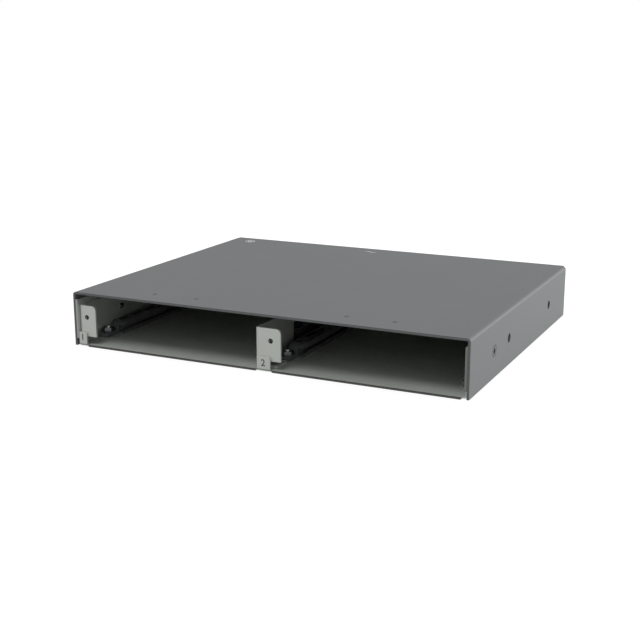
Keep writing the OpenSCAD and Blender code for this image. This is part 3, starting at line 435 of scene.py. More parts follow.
def refit(node, form, facings, finish, slot="bright_steel", name=None, seed=0):
    """Copies of the form in place of the node's solids, each faced one way from its box's foot."""
    boxes = solids_of(node)
    if isinstance(facings, Vector):
        facings = [facings] * len(boxes)
    feet = [(low + high - (high - low) * way) / 2 for (low, high), way in zip(boxes, facings)]
    copies(form, name or node + "_made", feet, facings, finish, slot, node, seed=seed)


clinch_l = extent("side_clinch_nuts", rightward)
flange_r = extent("side_clinch_nuts", frontward) / 2
flange_h = 2.0
shank_r = 2.58
clinch_bore_r = 1.65
shank_lead = 0.25
flange_lead = 0.35
knurl_depth = 0.12


def knurled(reach, height, share):
    """Radius at a share of the turn: the flange's rim is lower on every second side."""
    cut_in = reach == flange_r and round(share * 2 * knurls) % 2
    return reach - knurl_depth * cut_in


clinch = turned(bmesh.new(), [
    (clinch_bore_r, shank_lead), (clinch_bore_r + shank_lead, 0), (shank_r, 0),
    (shank_r, clinch_l - flange_h), (flange_r, clinch_l - flange_h),
    (flange_r, clinch_l - flange_lead), (flange_r - flange_lead, clinch_l),
    (clinch_bore_r + flange_lead, clinch_l), (clinch_bore_r, clinch_l - flange_lead),
], sides=2 * knurls, closed=True, wave=knurled)
threaded(clinch, clinch_bore_r, thread_depth, m4_pitch, 0.3, clinch_l - 0.7,
         bore=clinch_bore_r + 0.05)
inward = [rightward if low.x < 0 else leftward for low, high in solids_of("side_clinch_nuts")]
refit("side_clinch_nuts", smooth(piece_of(clinch, "clinch_form")), inward, bright,
      name="clinch_nuts")

# Card guides: four grooved rails of matt black polycarbonate that looks dark grey, moulded in one
# piece with their feet, with a flared mouth for the module's board and pockets between thin walls.
moulded_edge = 0.25
guide_plastic = surface("Black moulded guide", (0.10, 0.102, 0.105), roughness=0.42, drift=0.1,
                        cloud=4, depth=0.008, grain=0.25)
for slot in (1, 2):
    for side in ("left", "right"):
        dress("card_guide_%d_%s" % (slot, side), guide_plastic, "black_plastic", moulded_edge)

# Studs and nuts: bright M3 studs pressed flush into the floor hold the guides and the bulkhead,
# each with a hexagonal nut of duller plating.
stud_head_r = 2.3
stud_head_h = 0.7
m3_r = 1.5
m3_cut = 0.15
nut_flat = 5.5
nut_lead = 0.3
nut_face_share = 0.96
nut_chamfer = math.tan(math.radians(30))


def stud_form(length):
    """Pressed stud from its flush head, at z 0, to its tip."""
    work = turned(bmesh.new(), [(0, 0), (stud_head_r - 0.1, 0), (stud_head_r, 0.1),
                                (stud_head_r, stud_head_h), (0, stud_head_h)])
    threaded(work, m3_r, m3_cut, m3_pitch, stud_head_h - 0.05, length - stud_head_h - 0.15)
    turned(work, [(0, length - 0.3), (m3_r - 0.2, length - 0.3), (m3_r - 0.4, length), (0, length)],
           thread_sides)
    return smooth(piece_of(work, "stud_form"))


def skin(work, rows, capped=True):
    """Joins rows of points by faces that look outwards, and closes the first and the last row."""
    count = len(rows[0])
    for near, far in zip(rows, rows[1:]):
        for k in range(count):
            work.faces.new([near[k], near[(k + 1) % count], far[(k + 1) % count], far[k]])
    if capped:
        work.faces.new(rows[0][::-1])
        work.faces.new(rows[-1])
    bmesh.ops.recalc_face_normals(work, faces=work.faces)


def nut_work(flat, bore, height, steps=6):
    """Hexagonal nut from z 0 up, both ends chamfered, its flats facing plus and minus X."""
    work = bmesh.new()
    sides = 6 * steps
    face_r = nut_face_share * flat / 2
    rings = [[] for _ in range(8)]
    for k in range(sides):
        angle = 2 * math.pi * k / sides
        reach = flat / 2 / math.cos((angle + math.pi / 6) % (math.pi / 3) - math.pi / 6)
        drop = (reach - face_r) * nut_chamfer
        points = [(bore, nut_lead), (bore + nut_lead, 0), (face_r, 0), (reach, drop),
                  (reach, height - drop), (face_r, height), (bore + nut_lead, height),
                  (bore, height - nut_lead)]
        for ring, (radius, z) in zip(rings, points):
            ring.append(work.verts.new((radius * math.cos(angle), radius * math.sin(angle), z)))
    skin(work, rings + rings[:1], capped=False)
    return work


def nuts(node, flat, bore, facing, finish):
    """The node's nuts, of that width over flats and bore radius, faced one way."""
    work = nut_work(flat, bore, extent(node, facing))
    refit(node, smooth(piece_of(work, "nut_form"), angle=25), facing, finish)


dull_zinc = metal("Dull zinc", (0.17, 0.173, 0.18), 0.2, drift=0.1, patchy=0.03)
for group in ("card_guide", "bulkhead"):
    studs = group + "_studs"
    refit(studs, stud_form(extent(studs, upward)), upward, bright, seed=3)
    nuts(group + "_nuts", nut_flat, m3_r, upward, dull_zinc)

# Bulkhead: a plated wall folded from one sheet, across the chassis between the module bays and
# the power supply.
dress("bulkhead", zinc, "plated_steel", sheared_edge)

# Backplane: a green circuit board upright before the bulkhead, which joins both card-edge
# connectors to the supply. Its tracks run under the solder mask, and small chip parts stand
# beside the connectors.
board_edge = 0.12
track_width = 1.1
track_rise = 0.05
track_sink = 0.02
chip_size = Vector((2.0, 1.25, 0.9))
chip_end = 0.4
solder_mask = surface("Green solder mask", (0.018, 0.11, 0.045), roughness=0.32, drift=0.08,
                      cloud=5, depth=0.006, grain=0.35, Coat_Weight=0.3, Coat_Roughness=0.2)
masked_copper = surface("Copper under solder mask", (0.05, 0.22, 0.075), roughness=0.3, drift=0.08,
                        Coat_Weight=0.3, Coat_Roughness=0.2)
solder = metal("Solder", (0.62, 0.63, 0.64), 0.24, cloud=0.8, grain=0.3, drift=0.06, depth=0.01)
chip_ceramic = surface("Tan chip ceramic", (0.33, 0.22, 0.13), drift=0.12, cloud=0.8, grain=0.2)


def box_of(node):
    """Lowest and highest corner of a node, in millimetres."""
    return [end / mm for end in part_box(node)]


def middle_of(node):
    """Middle of a node's box, in millimetres."""
    low, high = box_of(node)
    return (low + high) / 2


def track_piece(name, routes, width, lay):
    """Flat copper tracks with mitred bends along routes on a plane, laid on a board by a matrix."""
    work = bmesh.new()
    for route in routes:
        line = [Vector(point) for point in route]
        rows = []
        for k, point in enumerate(line):
            before = (point - line[k - 1]).normalized() if k else (line[1] - point).normalized()
            after = (line[k + 1] - point).normalized() if k < len(line) - 1 else before
            along = (before + after).normalized()
            across = Vector((-along.y, along.x)) * width / 2 / max(0.5, along.dot(after))
            rows.append([work.verts.new((p.x, p.y, z)) for p, z in (
                (point + across, -track_sink), (point + across, track_rise),
                (point - across, track_rise), (point - across, -track_sink))])
        skin(work, rows)
    bmesh.ops.transform(work, matrix=lay, verts=work.verts)
    settle(smooth(piece_of(work, name)), masked_copper, "green_board")


def block_work(work, low, high, edge=0.0):
    """Adds a box, its upright edges cut by that much."""
    (x0, y0, z0), (x1, y1, z1) = low, high
    outline = [(x0 + edge, y0), (x1 - edge, y0), (x1, y0 + edge), (x1, y1 - edge),
               (x1 - edge, y1), (x0 + edge, y1), (x0, y1 - edge), (x0, y0 + edge)]
    outline = list(dict.fromkeys(outline))
    skin(work, [[work.verts.new((x, y, z)) for x, y in outline] for z in (z0, z1)])
    return work


def chips(name, places, facings):
    """Chip parts, each a ceramic block between two soldered metal ends."""
    half = chip_size / 2
    body = block_work(bmesh.new(), (chip_end - half.x, -half.y, 0.03),
                      (half.x - chip_end, half.y, chip_size.z - 0.04), 0.05)
    ends = bmesh.new()
    for side in (-1, 1):
        near, far = sorted((side * half.x, side * (half.x - chip_end)))
        block_work(ends, (near, -half.y - 0.03, -0.02), (far, half.y + 0.03, chip_size.z), 0.08)
    for form, part, finish in ((body, "_bodies", chip_ceramic), (ends, "_ends", solder)):
        copies(piece_of(form, "chip_form"), name + part, places, facings, finish, "green_board")


dress("backplane_board", solder_mask, "green_board", board_edge)
board_corner = box_of("backplane_board")[0]
on_backplane = Matrix.Translation((0, board_corner.y, 0)) @ to_front
connector_boxes = [box_of("module_connector_%d" % k) for k in (1, 2)]
header_x = middle_of("backplane_header").x
header_z = 16
rail_foot_z = 8.4
rail_bend = 1.5
finger_foot_z = 7.2
chip_row_z = 17.2
routes = []
for k, z in enumerate((10.2, 12.2, 20.6)):
    start_x = board_corner.x + 12 + 3 * k
    end_x = header_x - 4 + 3 * k
    turn_z = z - rail_bend if z > header_z else z + rail_bend
    routes.append([(start_x, rail_foot_z), (start_x, z - rail_bend), (start_x + rail_bend, z),
                   (end_x - rail_bend, z), (end_x, turn_z), (end_x, header_z)])
chip_places = []
for low, high in connector_boxes:
    for k in range(5):
        x = low.x + 8 + 9 * k
        z = 10 + 0.9 * k
        routes.append([(x, finger_foot_z), (x, z - 1.4), (x + 1.4, z), (x + 4.2, z)])
    middle = (low.x + high.x) / 2
    chip_places += [Vector((middle + x, board_corner.y, chip_row_z)) for x in range(-17, 19, 7)]
track_piece("backplane_tracks", routes, track_width, on_backplane)
chips("backplane_chips", chip_places, frontward)

# Spacers and screws of the backplane: hexagonal threaded spacers riveted into the bulkhead, and
# plated pan-head screws with a cross recess through the board.
pan_r = 2.75
pan_h = 1.8
dome_r = 1.25
recess = (2.9, 0.7, 1.05)
rearward = Vector((0, 1, 0))


def cut(piece, cutter):
    """The piece less the cutter, which is used up."""
    carve = piece.modifiers.new("Cut", "BOOLEAN")
    carve.operation = "DIFFERENCE"
    carve.solver = "EXACT"
    carve.use_self = True
    carve.object = cutter
    plain(piece)
    bpy.data.objects.remove(cutter)
    return piece


def cross_cutter(length, width, depth, top):
    """Tapered cross that a punch drives into a screw's head, its mouth at the height top."""
    work = bmesh.new()
    for turn in (0, 1):
        corners = []
        for z, share in ((top + 0.5, 1.1), (top - depth, 0.5)):
            for x, y in ((-1, -1), (1, -1), (1, 1), (-1, 1)):
                reach = (x * length / 2 * share, y * width / 2 * (0.55 + 0.45 * share))
                corners.append(work.verts.new((*(reach[::-1] if turn else reach), z)))
        for quad in ((0, 1, 2, 3), (7, 6, 5, 4), (0, 4, 5, 1), (1, 5, 6, 2), (2, 6, 7, 3),
                     (3, 7, 4, 0)):
            work.faces.new([corners[k] for k in quad])
    bmesh.ops.recalc_face_normals(work, faces=work.faces)
    return piece_of(work, "cross_cutter")


def screw_form(head, top, length, size=recess):
    """Screw from its tip, at z 0. Its head's profile starts from the seat, at the height length."""
    piece = cut(piece_of(turned(bmesh.new(), head, sides=36), "screw_form"),
                cross_cutter(*size, top))
    work = bmesh.new()
    work.from_mesh(piece.data)
    threaded(work, m3_r, m3_cut, m3_pitch, -length + 0.3, length - 0.3 + head[0][1] + 0.1)
    turned(work, [(0, -length), (m3_r - 0.45, -length), (m3_r - 0.16, -length + 0.35),
                  (0, -length + 0.35)], thread_sides)
    work.to_mesh(piece.data)
    work.free()
    piece.data.transform(Matrix.Translation((0, 0, length)))
    return smooth(piece)


def pan_screws(node, facing, seed):
    """The node's pan-head screws, their heads faced one way."""
    dome = [(0, 0), (pan_r - 0.1, 0), (pan_r, 0.12)]
    for k in range(6):
        angle = math.radians(15 + 75 * k / 5)
        dome.append((pan_r - dome_r + dome_r * math.cos(angle - math.radians(15)),
                     pan_h - dome_r + dome_r * math.sin(angle)))
    screw = screw_form(dome + [(0, pan_h)], pan_h, extent(node, facing) - pan_h)
    refit(node, screw, facing, bright, seed=seed)


spacer_hex = 3.0
rivet_r = 2.15
rivet_end = spacer_hex + 0.95
spacer = nut_work(nut_flat, m3_r, spacer_hex, steps=4)
turned(spacer, [(m3_r, spacer_hex - 0.1), (rivet_r, spacer_hex - 0.1), (rivet_r, rivet_end),
                (m3_r, rivet_end)], closed=True)
refit("backplane_spacers", smooth(piece_of(spacer, "spacer_form"), angle=25), rearward, bright)
pan_screws("backplane_screws", frontward, seed=5)

# Backplane header: a black two-pole socket that stands through the bulkhead on the board's back
# and takes the supply's leads.
dress("backplane_header", guide_plastic, "black_plastic", edge=0.3)

# Module connectors: black glass-filled housings soldered to the backplane, each with two rows of
# gilt spring contacts that grip the edge of a module's board.
contact_pitch = 2.54
contact_count = 17
contact_half = 0.4
contact_t = 0.12
contact_gold = metal("Gilt contact", (0.83, 0.60, 0.24), 0.22, cloud=1, depth=0.002)
connector_plastic = surface("Black glass-filled plastic", (0.02, 0.02, 0.022), drift=0.12,
                            depth=0.012, grain=0.2)


def spring_work(side):
    """Bent contact strip along +Y from the mouth inwards, bowed towards the board's edge."""
    work = bmesh.new()
    rows = []
    for y, z in ((0.7, 0.98), (1.6, 0.62), (2.6, 0.5), (3.8, 0.66), (6.8, 0.94)):
        rows.append([work.verts.new((x, y, side * h)) for x, h in (
            (-contact_half, z), (contact_half, z), (contact_half, z + contact_t),
            (-contact_half, z + contact_t))])
    skin(work, rows)
    return work


for number, (low, high) in enumerate(connector_boxes, 1):
    dress("module_connector_%d" % number, connector_plastic, "black_plastic", edge=0.2)
    middle = (low + high) / 2
    places = [Vector((middle.x + (k - (contact_count - 1) / 2) * contact_pitch, low.y, middle.z))
              for k in range(contact_count)]
    for side, row in ((1, "upper"), (-1, "lower")):
        name = "connector_%d_%s_contacts" % (number, row)
        copies(piece_of(spring_work(side), "contact_form"), name, places, upward, contact_gold,
               "bright_steel")

# Power supply board: a green board on four hexagonal standoffs above a film of polyester, held
# by plated pan-head screws. All that follows stands on it.
supply_low, supply_high = box_of("supply_board")
supply_top = supply_high.z
standoff_base = 1.0
film = surface("Polyester insulating film", (0.42, 0.33, 0.16), roughness=0.3, drift=0.06, cloud=12,
               depth=0.003, grain=1.0)
supply_track_w = 1.8


def on_board(x, y):
    """Point on the supply's board, from its left front corner."""
    return Vector((supply_low.x + x, supply_low.y + y, supply_top))


dress("supply_board", solder_mask, "green_board", board_edge)
dress("insulator_sheet", film, "insulator", edge=0.06)
track_piece("supply_tracks", [
    [(6.9, 10.6), (6.9, 6.6), (8.4, 5.1), (9.6, 5.1)],
    [(28.4, 3.6), (31.2, 3.6), (32.6, 5.0), (32.6, 8.0)],
    [(6.9, 20.8), (6.9, 25.6), (8.9, 27.6), (31.0, 27.6), (33.0, 25.6), (33.0, 18.4)],
    [(36.8, 14.0), (38.2, 15.4), (38.2, 20.4), (39.6, 21.8), (48.6, 21.8)],
    [(37.0, 4.4), (50.6, 4.4), (52.0, 5.8), (52.0, 9.6)],
    [(53.4, 23.4), (72.6, 23.4), (73.4, 22.6)],
    [(70.4, 9.4), (71.6, 8.2), (71.6, 6.0)],
    [(78.7, 8.4), (78.7, 5.6)],
], supply_track_w, Matrix.Translation(on_board(0, 0)))
chip_spots = ((54, 6), (54, 26.4), (58, 26.4), (64.5, 26.4), (68.5, 4.6), (82.6, 24.6), (60, 4.2),
              (64, 4.2))
chips("supply_chips", [on_board(x, y) for x, y in chip_spots], upward)
rivet_top = standoff_base + 0.6
standoff = nut_work(nut_flat, m3_r, box_of("supply_standoffs")[1].z - standoff_base, steps=4)
bmesh.ops.translate(standoff, vec=(0, 0, standoff_base), verts=standoff.verts)
turned(standoff, [(0, 0), (stud_head_r - 0.1, 0), (stud_head_r, 0.1), (stud_head_r, stud_head_h),
                  (1.8, stud_head_h), (1.8, rivet_top), (0, rivet_top)])
refit("supply_standoffs", smooth(piece_of(standoff, "standoff_form"), angle=25), upward, bright)
pan_screws("supply_screws", upward, seed=7)

# Mains header: a white nylon socket with a well for each of the two mains leads.
nylon = surface("White nylon", (0.72, 0.70, 0.64), roughness=0.45, drift=0.03,
                Subsurface_Weight=0.05, Subsurface_Scale=0.001)
dress("mains_header", nylon, "white_plastic", edge=0.35)

# Fuse: a glass tube with nickel caps and a fine wire, held by two spring clips.
fuse_low, fuse_high = box_of("fuse")
fuse_r = (fuse_high.y - fuse_low.y) / 2
fuse_l = fuse_high.x - fuse_low.x
fuse_cap_l = 5.0
glass_r = 2.35
glass_t = 0.4
glass_inset = 0.6
wire_inset = 0.4
fuse_wire_r = 0.12
fuse_start = Vector((fuse_low.x, *middle_of("fuse").yz))
along_fuse = Matrix.Translation(fuse_start) @ Matrix.Rotation(math.pi / 2, 4, "Y")
nickel = metal("Nickel plate", (0.66, 0.62, 0.55), 0.2, depth=0.002)
glass = surface("Clear glass", (0.9, 0.94, 0.93), roughness=0.06, drift=0.01, cloud=5, depth=0.0,
                Transmission_Weight=1.0, IOR=1.5)


def turned_piece(name, profiles, lay, sides=32, closed=False):
    """Piece of one or more bodies of revolution, laid in place by a matrix."""
    work = bmesh.new()
    for profile in profiles:
        turned(work, profile, sides, closed)
    bmesh.ops.transform(work, matrix=lay, verts=work.verts)
    return smooth(piece_of(work, name))


fuse_tube = [(glass_r - glass_t, glass_inset), (glass_r, glass_inset),
             (glass_r, fuse_l - glass_inset), (glass_r - glass_t, fuse_l - glass_inset)]
fuse_wire = [(0, wire_inset), (fuse_wire_r, wire_inset), (fuse_wire_r, fuse_l - wire_inset),
             (0, fuse_l - wire_inset)]
rim = [(0, 0), (fuse_r - 0.3, 0), (fuse_r, 0.3), (fuse_r, fuse_cap_l - 0.1),
       (fuse_r - 0.08, fuse_cap_l), (glass_r + 0.03, fuse_cap_l), (glass_r + 0.03, 0.5), (0, 0.5)]
fuse_caps = [[(radius, start + turn * height) for radius, height in rim]
             for start, turn in ((0, 1), (fuse_l, -1))]
glass_tube = turned_piece("fuse_glass_tube", [fuse_tube], along_fuse, closed=True)
settle(glass_tube, glass, "fuse_glass", "fuse")
settle(turned_piece("fuse_caps", fuse_caps, along_fuse), nickel, "nickel")
settle(turned_piece("fuse_wire", [fuse_wire], along_fuse, sides=8), nickel, "nickel")
dress("fuse_clips", bright, "bright_steel", edge=0.1)

# Suppression capacitor: a film capacitor potted in a yellow plastic box.
yellow_case = surface("Yellow capacitor case", (0.62, 0.42, 0.035), roughness=0.35, drift=0.04,
                      cloud=4, depth=0.006)
dress("suppression_capacitor", yellow_case, "yellow_box", edge=0.6, steps=3)

# Choke: a ferrite frame with a coil of enamelled copper wire on each upright leg, as one
# unbroken tube that climbs round the leg.
choke_turns = 8
turn_steps = 28
squareness = 4
wire_r = 0.33
ferrite = surface("Ferrite", (0.045, 0.044, 0.046), roughness=0.6, drift=0.12, cloud=2, depth=0.02,
                  grain=0.25)
enamel = surface("Enamelled copper", (0.52, 0.20, 0.07), metallic=0.85, roughness=0.25, drift=0.08,
                 cloud=2, depth=0.002)


def tube_work(work, line, radius, sides):
    """Adds a round tube along a line of points, its ends closed, with a UV map along it."""
    line = [Vector(point) for point in line]
    headings = []
    for k, point in enumerate(line):
        headings.append((line[min(k + 1, len(line) - 1)] - line[max(k - 1, 0)]).normalized())
    side = headings[0].orthogonal().normalized()
    around = work.loops.layers.uv.verify()
    angles = [2 * math.pi * s / sides for s in range(sides)]
    rows = []
    lengths = [0.0]
    for k, (point, heading) in enumerate(zip(line, headings)):
        side = (side - heading * side.dot(heading)).normalized()
        up = heading.cross(side)
        if k:
            lengths.append(lengths[-1] + (point - line[k - 1]).length)
        rows.append([work.verts.new(point + radius * (math.cos(a) * side + math.sin(a) * up))
                     for a in angles])
    for k, (near, far) in enumerate(zip(rows, rows[1:])):
        for s in range(sides):
            face = work.faces.new([near[s], near[(s + 1) % sides], far[(s + 1) % sides], far[s]])
            for loop, (u, v) in zip(face.loops, ((s, k), (s + 1, k), (s + 1, k + 1), (s, k + 1))):
                loop[around].uv = (u / sides, lengths[v] / 10)
    work.faces.new(rows[0][::-1])
    work.faces.new(rows[-1])


for number, (low, high) in enumerate(solids_of("choke_winding"), 1):
    middle = (low + high) / 2
    half_x = (high.x - low.x) / 2 - wire_r
    half_y = (high.y - low.y) / 2 - wire_r
    coil_line = []
    for k in range(choke_turns * turn_steps + 1):
        angle = 2 * math.pi * k / turn_steps
        c, s = math.cos(angle), math.sin(angle)
        reach = (abs(c) ** squareness + abs(s) ** squareness) ** (-1 / squareness)
        climb = low.z + wire_r + (high.z - low.z - 2 * wire_r) * k / (choke_turns * turn_steps)
        coil_line.append((middle.x + half_x * c * reach, middle.y + half_y * s * reach, climb))
    coil = bmesh.new()
    tube_work(coil, coil_line, wire_r, sides=8)
    settle(smooth(piece_of(coil, "choke_coil_%d" % number)), enamel, "copper_wire", "choke_winding")
dress("choke_core", ferrite, "ferrite", edge=0.35)

# Bridge rectifier: four diodes moulded into one flat block of black epoxy that stands on edge.
epoxy = surface("Black moulding epoxy", (0.022, 0.022, 0.024), roughness=0.55, drift=0.1,
                depth=0.01, grain=0.15)
dress("bridge_rectifier", epoxy, "black_epoxy", edge=0.3)

# Electrolytic capacitors: aluminium cans in a shrunk sleeve that laps over the rim of the top,
# where a stamped cross opens if the pressure rises. A pale stripe marks the minus side.
sleeve_blue = surface("Dark blue shrink sleeve", (0.016, 0.028, 0.09), roughness=0.28, drift=0.06,
                      depth=0.006, grain=0.8)
sleeve_stripe = surface("Pale stripe on the sleeve", (0.55, 0.56, 0.58), roughness=0.35, drift=0.04,
                        grain=0.5)
can_top = metal("Can aluminium", (0.72, 0.72, 0.73), 0.3, cloud=3, grain=0.3)
can_sides = 48


def capacitors(node):
    """Sleeves, stripes and can tops of the node's capacitors."""
    sleeves, stripes, lids = bmesh.new(), bmesh.new(), bmesh.new()
    for low, high in solids_of(node):
        radius = (high.x - low.x) / 2
        height = high.z - low.z
        lid_r = radius - 1.25
        lid_z = height - 0.1
        place = Matrix.Translation(((low.x + high.x) / 2, (low.y + high.y) / 2, low.z))
        sleeve = turned(bmesh.new(), [
            (0, 0), (radius - 0.5, 0), (radius - 0.1, 0.25), (radius, 0.7), (radius, 1.5),
            (radius - 0.25, 2.0), (radius, 2.5), (radius, height - 0.8),
            (radius - 0.2, height - 0.25), (radius - 0.6, height), (radius - 1.2, height),
            (radius - 1.3, height - 0.2), (0, height - 0.2)], can_sides)
        lid = turned(bmesh.new(), [
            (0, lid_z - 0.2), (lid_r, lid_z - 0.2), (lid_r, lid_z), (0, lid_z)], can_sides)
        stamped = cut(piece_of(lid, "lid_form"), cross_cutter(1.5 * lid_r, 0.3, 0.12, lid_z))
        for form, host in ((piece_of(sleeve, "sleeve_form"), sleeves), (stamped, lids)):
            form.data.transform(place)
            host.from_mesh(form.data)
            bpy.data.objects.remove(form)
        rim = ((-0.05, 2.7), (0.03, 2.7), (0.03, height - 0.9), (-0.05, height - 0.9))
        strip = []
        for k in range(9):
            angle = math.radians(-25 + 50 * k / 8)
            c, s = math.cos(angle), math.sin(angle)
            ring = [Vector(((radius + r) * c, (radius + r) * s, z)) for r, z in rim]
            strip.append([stripes.verts.new(place @ point) for point in ring])
        skin(stripes, strip)
    settle(smooth(piece_of(sleeves, node + "_sleeves")), sleeve_blue, "capacitor_sleeve", node)
    settle(smooth(piece_of(stripes, node + "_stripes")), sleeve_stripe, "capacitor_sleeve")
    settle(smooth(piece_of(lids, node + "_lids"), angle=30), can_top, "aluminium")


capacitors("bulk_capacitor")
capacitors("output_capacitors")

# Heat sink and switching transistor: an extruded aluminium plate with fins on its back, and the
# transistor's copper tab screwed flat to its front.
sink_metal = metal("Extruded aluminium", (0.66, 0.67, 0.68), 0.36, cloud=6, grain=0.3, depth=0.008,
                   pull=(1, 1, 0.1))
dress("heat_sink", sink_metal, "aluminium", edge=0.15)
tinned = metal("Tinned copper", (0.68, 0.66, 0.62), 0.3)
low, high = box_of("switching_transistor")
tab_t = 1.2
tab_inset = 0.05
leg_pitch = 2.54
leg_half = 0.4
body_foot = low.z + 1.5
body_top = low.z + 9.0
body = block_work(bmesh.new(), (low.x, low.y, body_foot), (high.x, high.y - tab_t / 2, body_top))
settle(rounded(piece_of(body, "transistor_body"), edge=0.25), epoxy, "black_epoxy",
       "switching_transistor")
tab = block_work(bmesh.new(), (low.x + tab_inset, high.y - tab_t, body_foot + 0.3),
                 (high.x - tab_inset, high.y, high.z))
for k in (-1, 0, 1):
    leg = (low.x + high.x) / 2 + leg_pitch * k
    block_work(tab, (leg - leg_half, high.y - 1.1, low.z),
               (leg + leg_half, high.y - 0.5, body_foot + 0.5))
settle(rounded(piece_of(tab, "transistor_tab_and_legs"), edge=0.1), tinned, "bright_steel")
pan_screws("transistor_screw", frontward, seed=11)

# Transformer: two ferrite halves glued round a winding that is wrapped in yellow polyester tape.
tape = surface("Yellow polyester tape", (0.66, 0.47, 0.06), roughness=0.3, depth=0.01, grain=0.6,
               pull=(0.3, 0.3, 3))
dress("transformer_core", ferrite, "ferrite", edge=0.3)
dress("transformer_winding", tape, "yellow_tape", edge=0.9, steps=4)
low, high = box_of("transformer_winding")
lap = block_work(bmesh.new(), (low.x + 3.0, low.y - 0.06, low.z + 0.9),
                 (high.x - 2.4, low.y + 0.1, high.z - 0.9))
settle(rounded(piece_of(lap, "tape_end"), edge=0.03), tape, "yellow_tape")

# Output header: a black socket with a well for each of the two leads that go to the backplane.
dress("output_header", guide_plastic, "black_plastic", edge=0.3)

# Mains inlet: a black housing with three nickel-plated pins, put in from behind and held by two
# countersunk screws with nuts inside.
inlet_plastic = surface("Black inlet housing", (0.020, 0.020, 0.021), roughness=0.38, drift=0.1,
                        cloud=4, depth=0.008, grain=0.2)
m3_flat_r = 2.88
inlet_cone = 1.4


def flat_screw(depth, length, size=(2.6, 0.65, 0.95)):
    """Countersunk screw from its tip, at z 0, its cone that deep."""
    head = [(0, -depth), (m3_r, -depth), (m3_flat_r, -0.12), (m3_flat_r, 0), (0, 0)]
    return screw_form(head, 0, length, size=size)


dress("inlet_body", inlet_plastic, "black_plastic", edge=0.35, steps=3)
dress("inlet_pins", nickel, "nickel", edge=0.38, steps=3)
inlet_screw = flat_screw(inlet_cone, extent("inlet_screws", rearward))
refit("inlet_screws", inlet_screw, rearward, bright, seed=13)
nuts("inlet_nuts", nut_flat, m3_r, frontward, bright)

# Earth connection: a turned stud whose hexagonal collar bites the rear wall through a toothed
# washer. Inside, one nut clamps it and a second one holds the ring lug of the earth lead.
m4_r = 2.0
m4_cut = 0.22
m4_flat = 7.0
tip_h = 0.36
relief_r = 1.6
relief_w = 0.5
collar_h = 3.2
stud_l = extent("earth_stud", rearward)
collar_base = box_of("earth_washer")[1].y - box_of("earth_stud")[0].y
outer_base = collar_base + collar_h + relief_w
passivated = metal("Yellow passivated steel", (0.62, 0.55, 0.36), 0.3, drift=0.08)
stud = nut_work(m4_flat, 1.3, collar_h)
bmesh.ops.translate(stud, vec=(0, 0, collar_base), verts=stud.verts)
threaded(stud, m4_r, m4_cut, m4_pitch, 0.35, collar_base - 0.3)
turned(stud, [(0, collar_base + 0.1), (relief_r, collar_base + 0.1), (relief_r, outer_base + 0.2),
              (0, outer_base + 0.2)], sides=24)
threaded(stud, m4_r, m4_cut, m4_pitch, outer_base, stud_l - outer_base - 0.35)
for end, turn in ((0, 1), (stud_l, -1)):
    tip = [(0, end), (m4_r - 0.55, end), (m4_r - 0.2, end + turn * tip_h), (0, end + turn * tip_h)]
    turned(stud, tip, thread_sides)
refit("earth_stud", smooth(piece_of(stud, "earth_stud_form"), angle=28), rearward, passivated)
nuts("earth_nuts", m4_flat, m4_r, frontward, passivated)
dress("earth_washer", passivated, "bright_steel", edge=0.09)
dress("earth_lug", tinned, "bright_steel", edge=0.14)

# Leads: stranded copper in round insulation, each along its own route of chosen points, with a
# nylon push-on sleeve over each tab of the inlet. Their smooth turns join the middles of the
# straights between the points. The earth lead is green with lengthwise yellow stripes.
lead_r = 0.9
bend_steps = 12
sleeve_size = Vector((2.6, 9.0, 7.5))
mouth_w = 1.2
mouth_h = 6.7
mouth_floor = 1.9
stripe_share = 0.42
earth_route = [(24.5, 162.9, 14), (62.5, 162.9, 14), (86, 136.1, 14.8), (95, 136.1, 15.8),
               (95, 143.1, 15.8)]
mains_routes = {
    "brown": [(88, 143.1, 11.8), (88, 136.6, 11.2), (106, 136.6, 10.5), (114.88, 149.35, 10.2),
              (119.88, 149.35, 10.2)],
    "blue": [(102, 143.1, 11.8), (102, 139.1, 12.8), (109, 143.1, 13.8), (112.88, 153.85, 12.2),
             (119.88, 153.85, 10.2)],
}
supply_routes = {
    "black": [(189.96, 140.5, 13.7), (189.96, 140.5, 18.7), (182.8, 136.7, 16), (182.8, 131.7, 16)],
    "red": [(193.96, 140.5, 13.7), (193.96, 140.5, 18.7), (186.8, 136.7, 16), (186.8, 131.7, 16)],
}
wire_colours = {"brown": (0.11, 0.038, 0.014), "blue": (0.02, 0.10, 0.35),
                "black": (0.018, 0.018, 0.02), "red": (0.42, 0.025, 0.018)}


def lead_piece(name, route):
    """Round lead along the smooth curve of its route."""
    points = [corner(*point) for point in route]
    last = len(points) - 1
    line = []
    for k in range(1, last):
        start = points[0] if k == 1 else (points[k - 1] + points[k]) / 2
        end = points[last] if k == last - 1 else (points[k] + points[k + 1]) / 2
        for step in range(bend_steps):
            t = step / bend_steps
            line.append((1 - t) ** 2 * start + 2 * t * (1 - t) * points[k] + t * t * end)
    work = bmesh.new()
    tube_work(work, line + [points[last]], lead_r, sides=16)
    return smooth(piece_of(work, name))


def sleeve_piece(name, exit_point):
    """Push-on sleeve with its lead's exit at that point and its mouth towards the rear."""
    foot = corner(*exit_point) - Vector((0, 0.5, 0))
    half = sleeve_size / 2
    body = block_work(bmesh.new(), (foot.x - half.x, foot.y, foot.z - half.z),
                      (foot.x + half.x, foot.y + sleeve_size.y, foot.z + half.z))
    hollow = block_work(bmesh.new(),
                        (foot.x - mouth_w / 2, foot.y + mouth_floor, foot.z - mouth_h / 2),
                        (foot.x + mouth_w / 2, foot.y + sleeve_size.y + 1, foot.z + mouth_h / 2))
    return rounded(cut(piece_of(body, name), piece_of(hollow, "sleeve_hollow")), edge=0.45, steps=3)


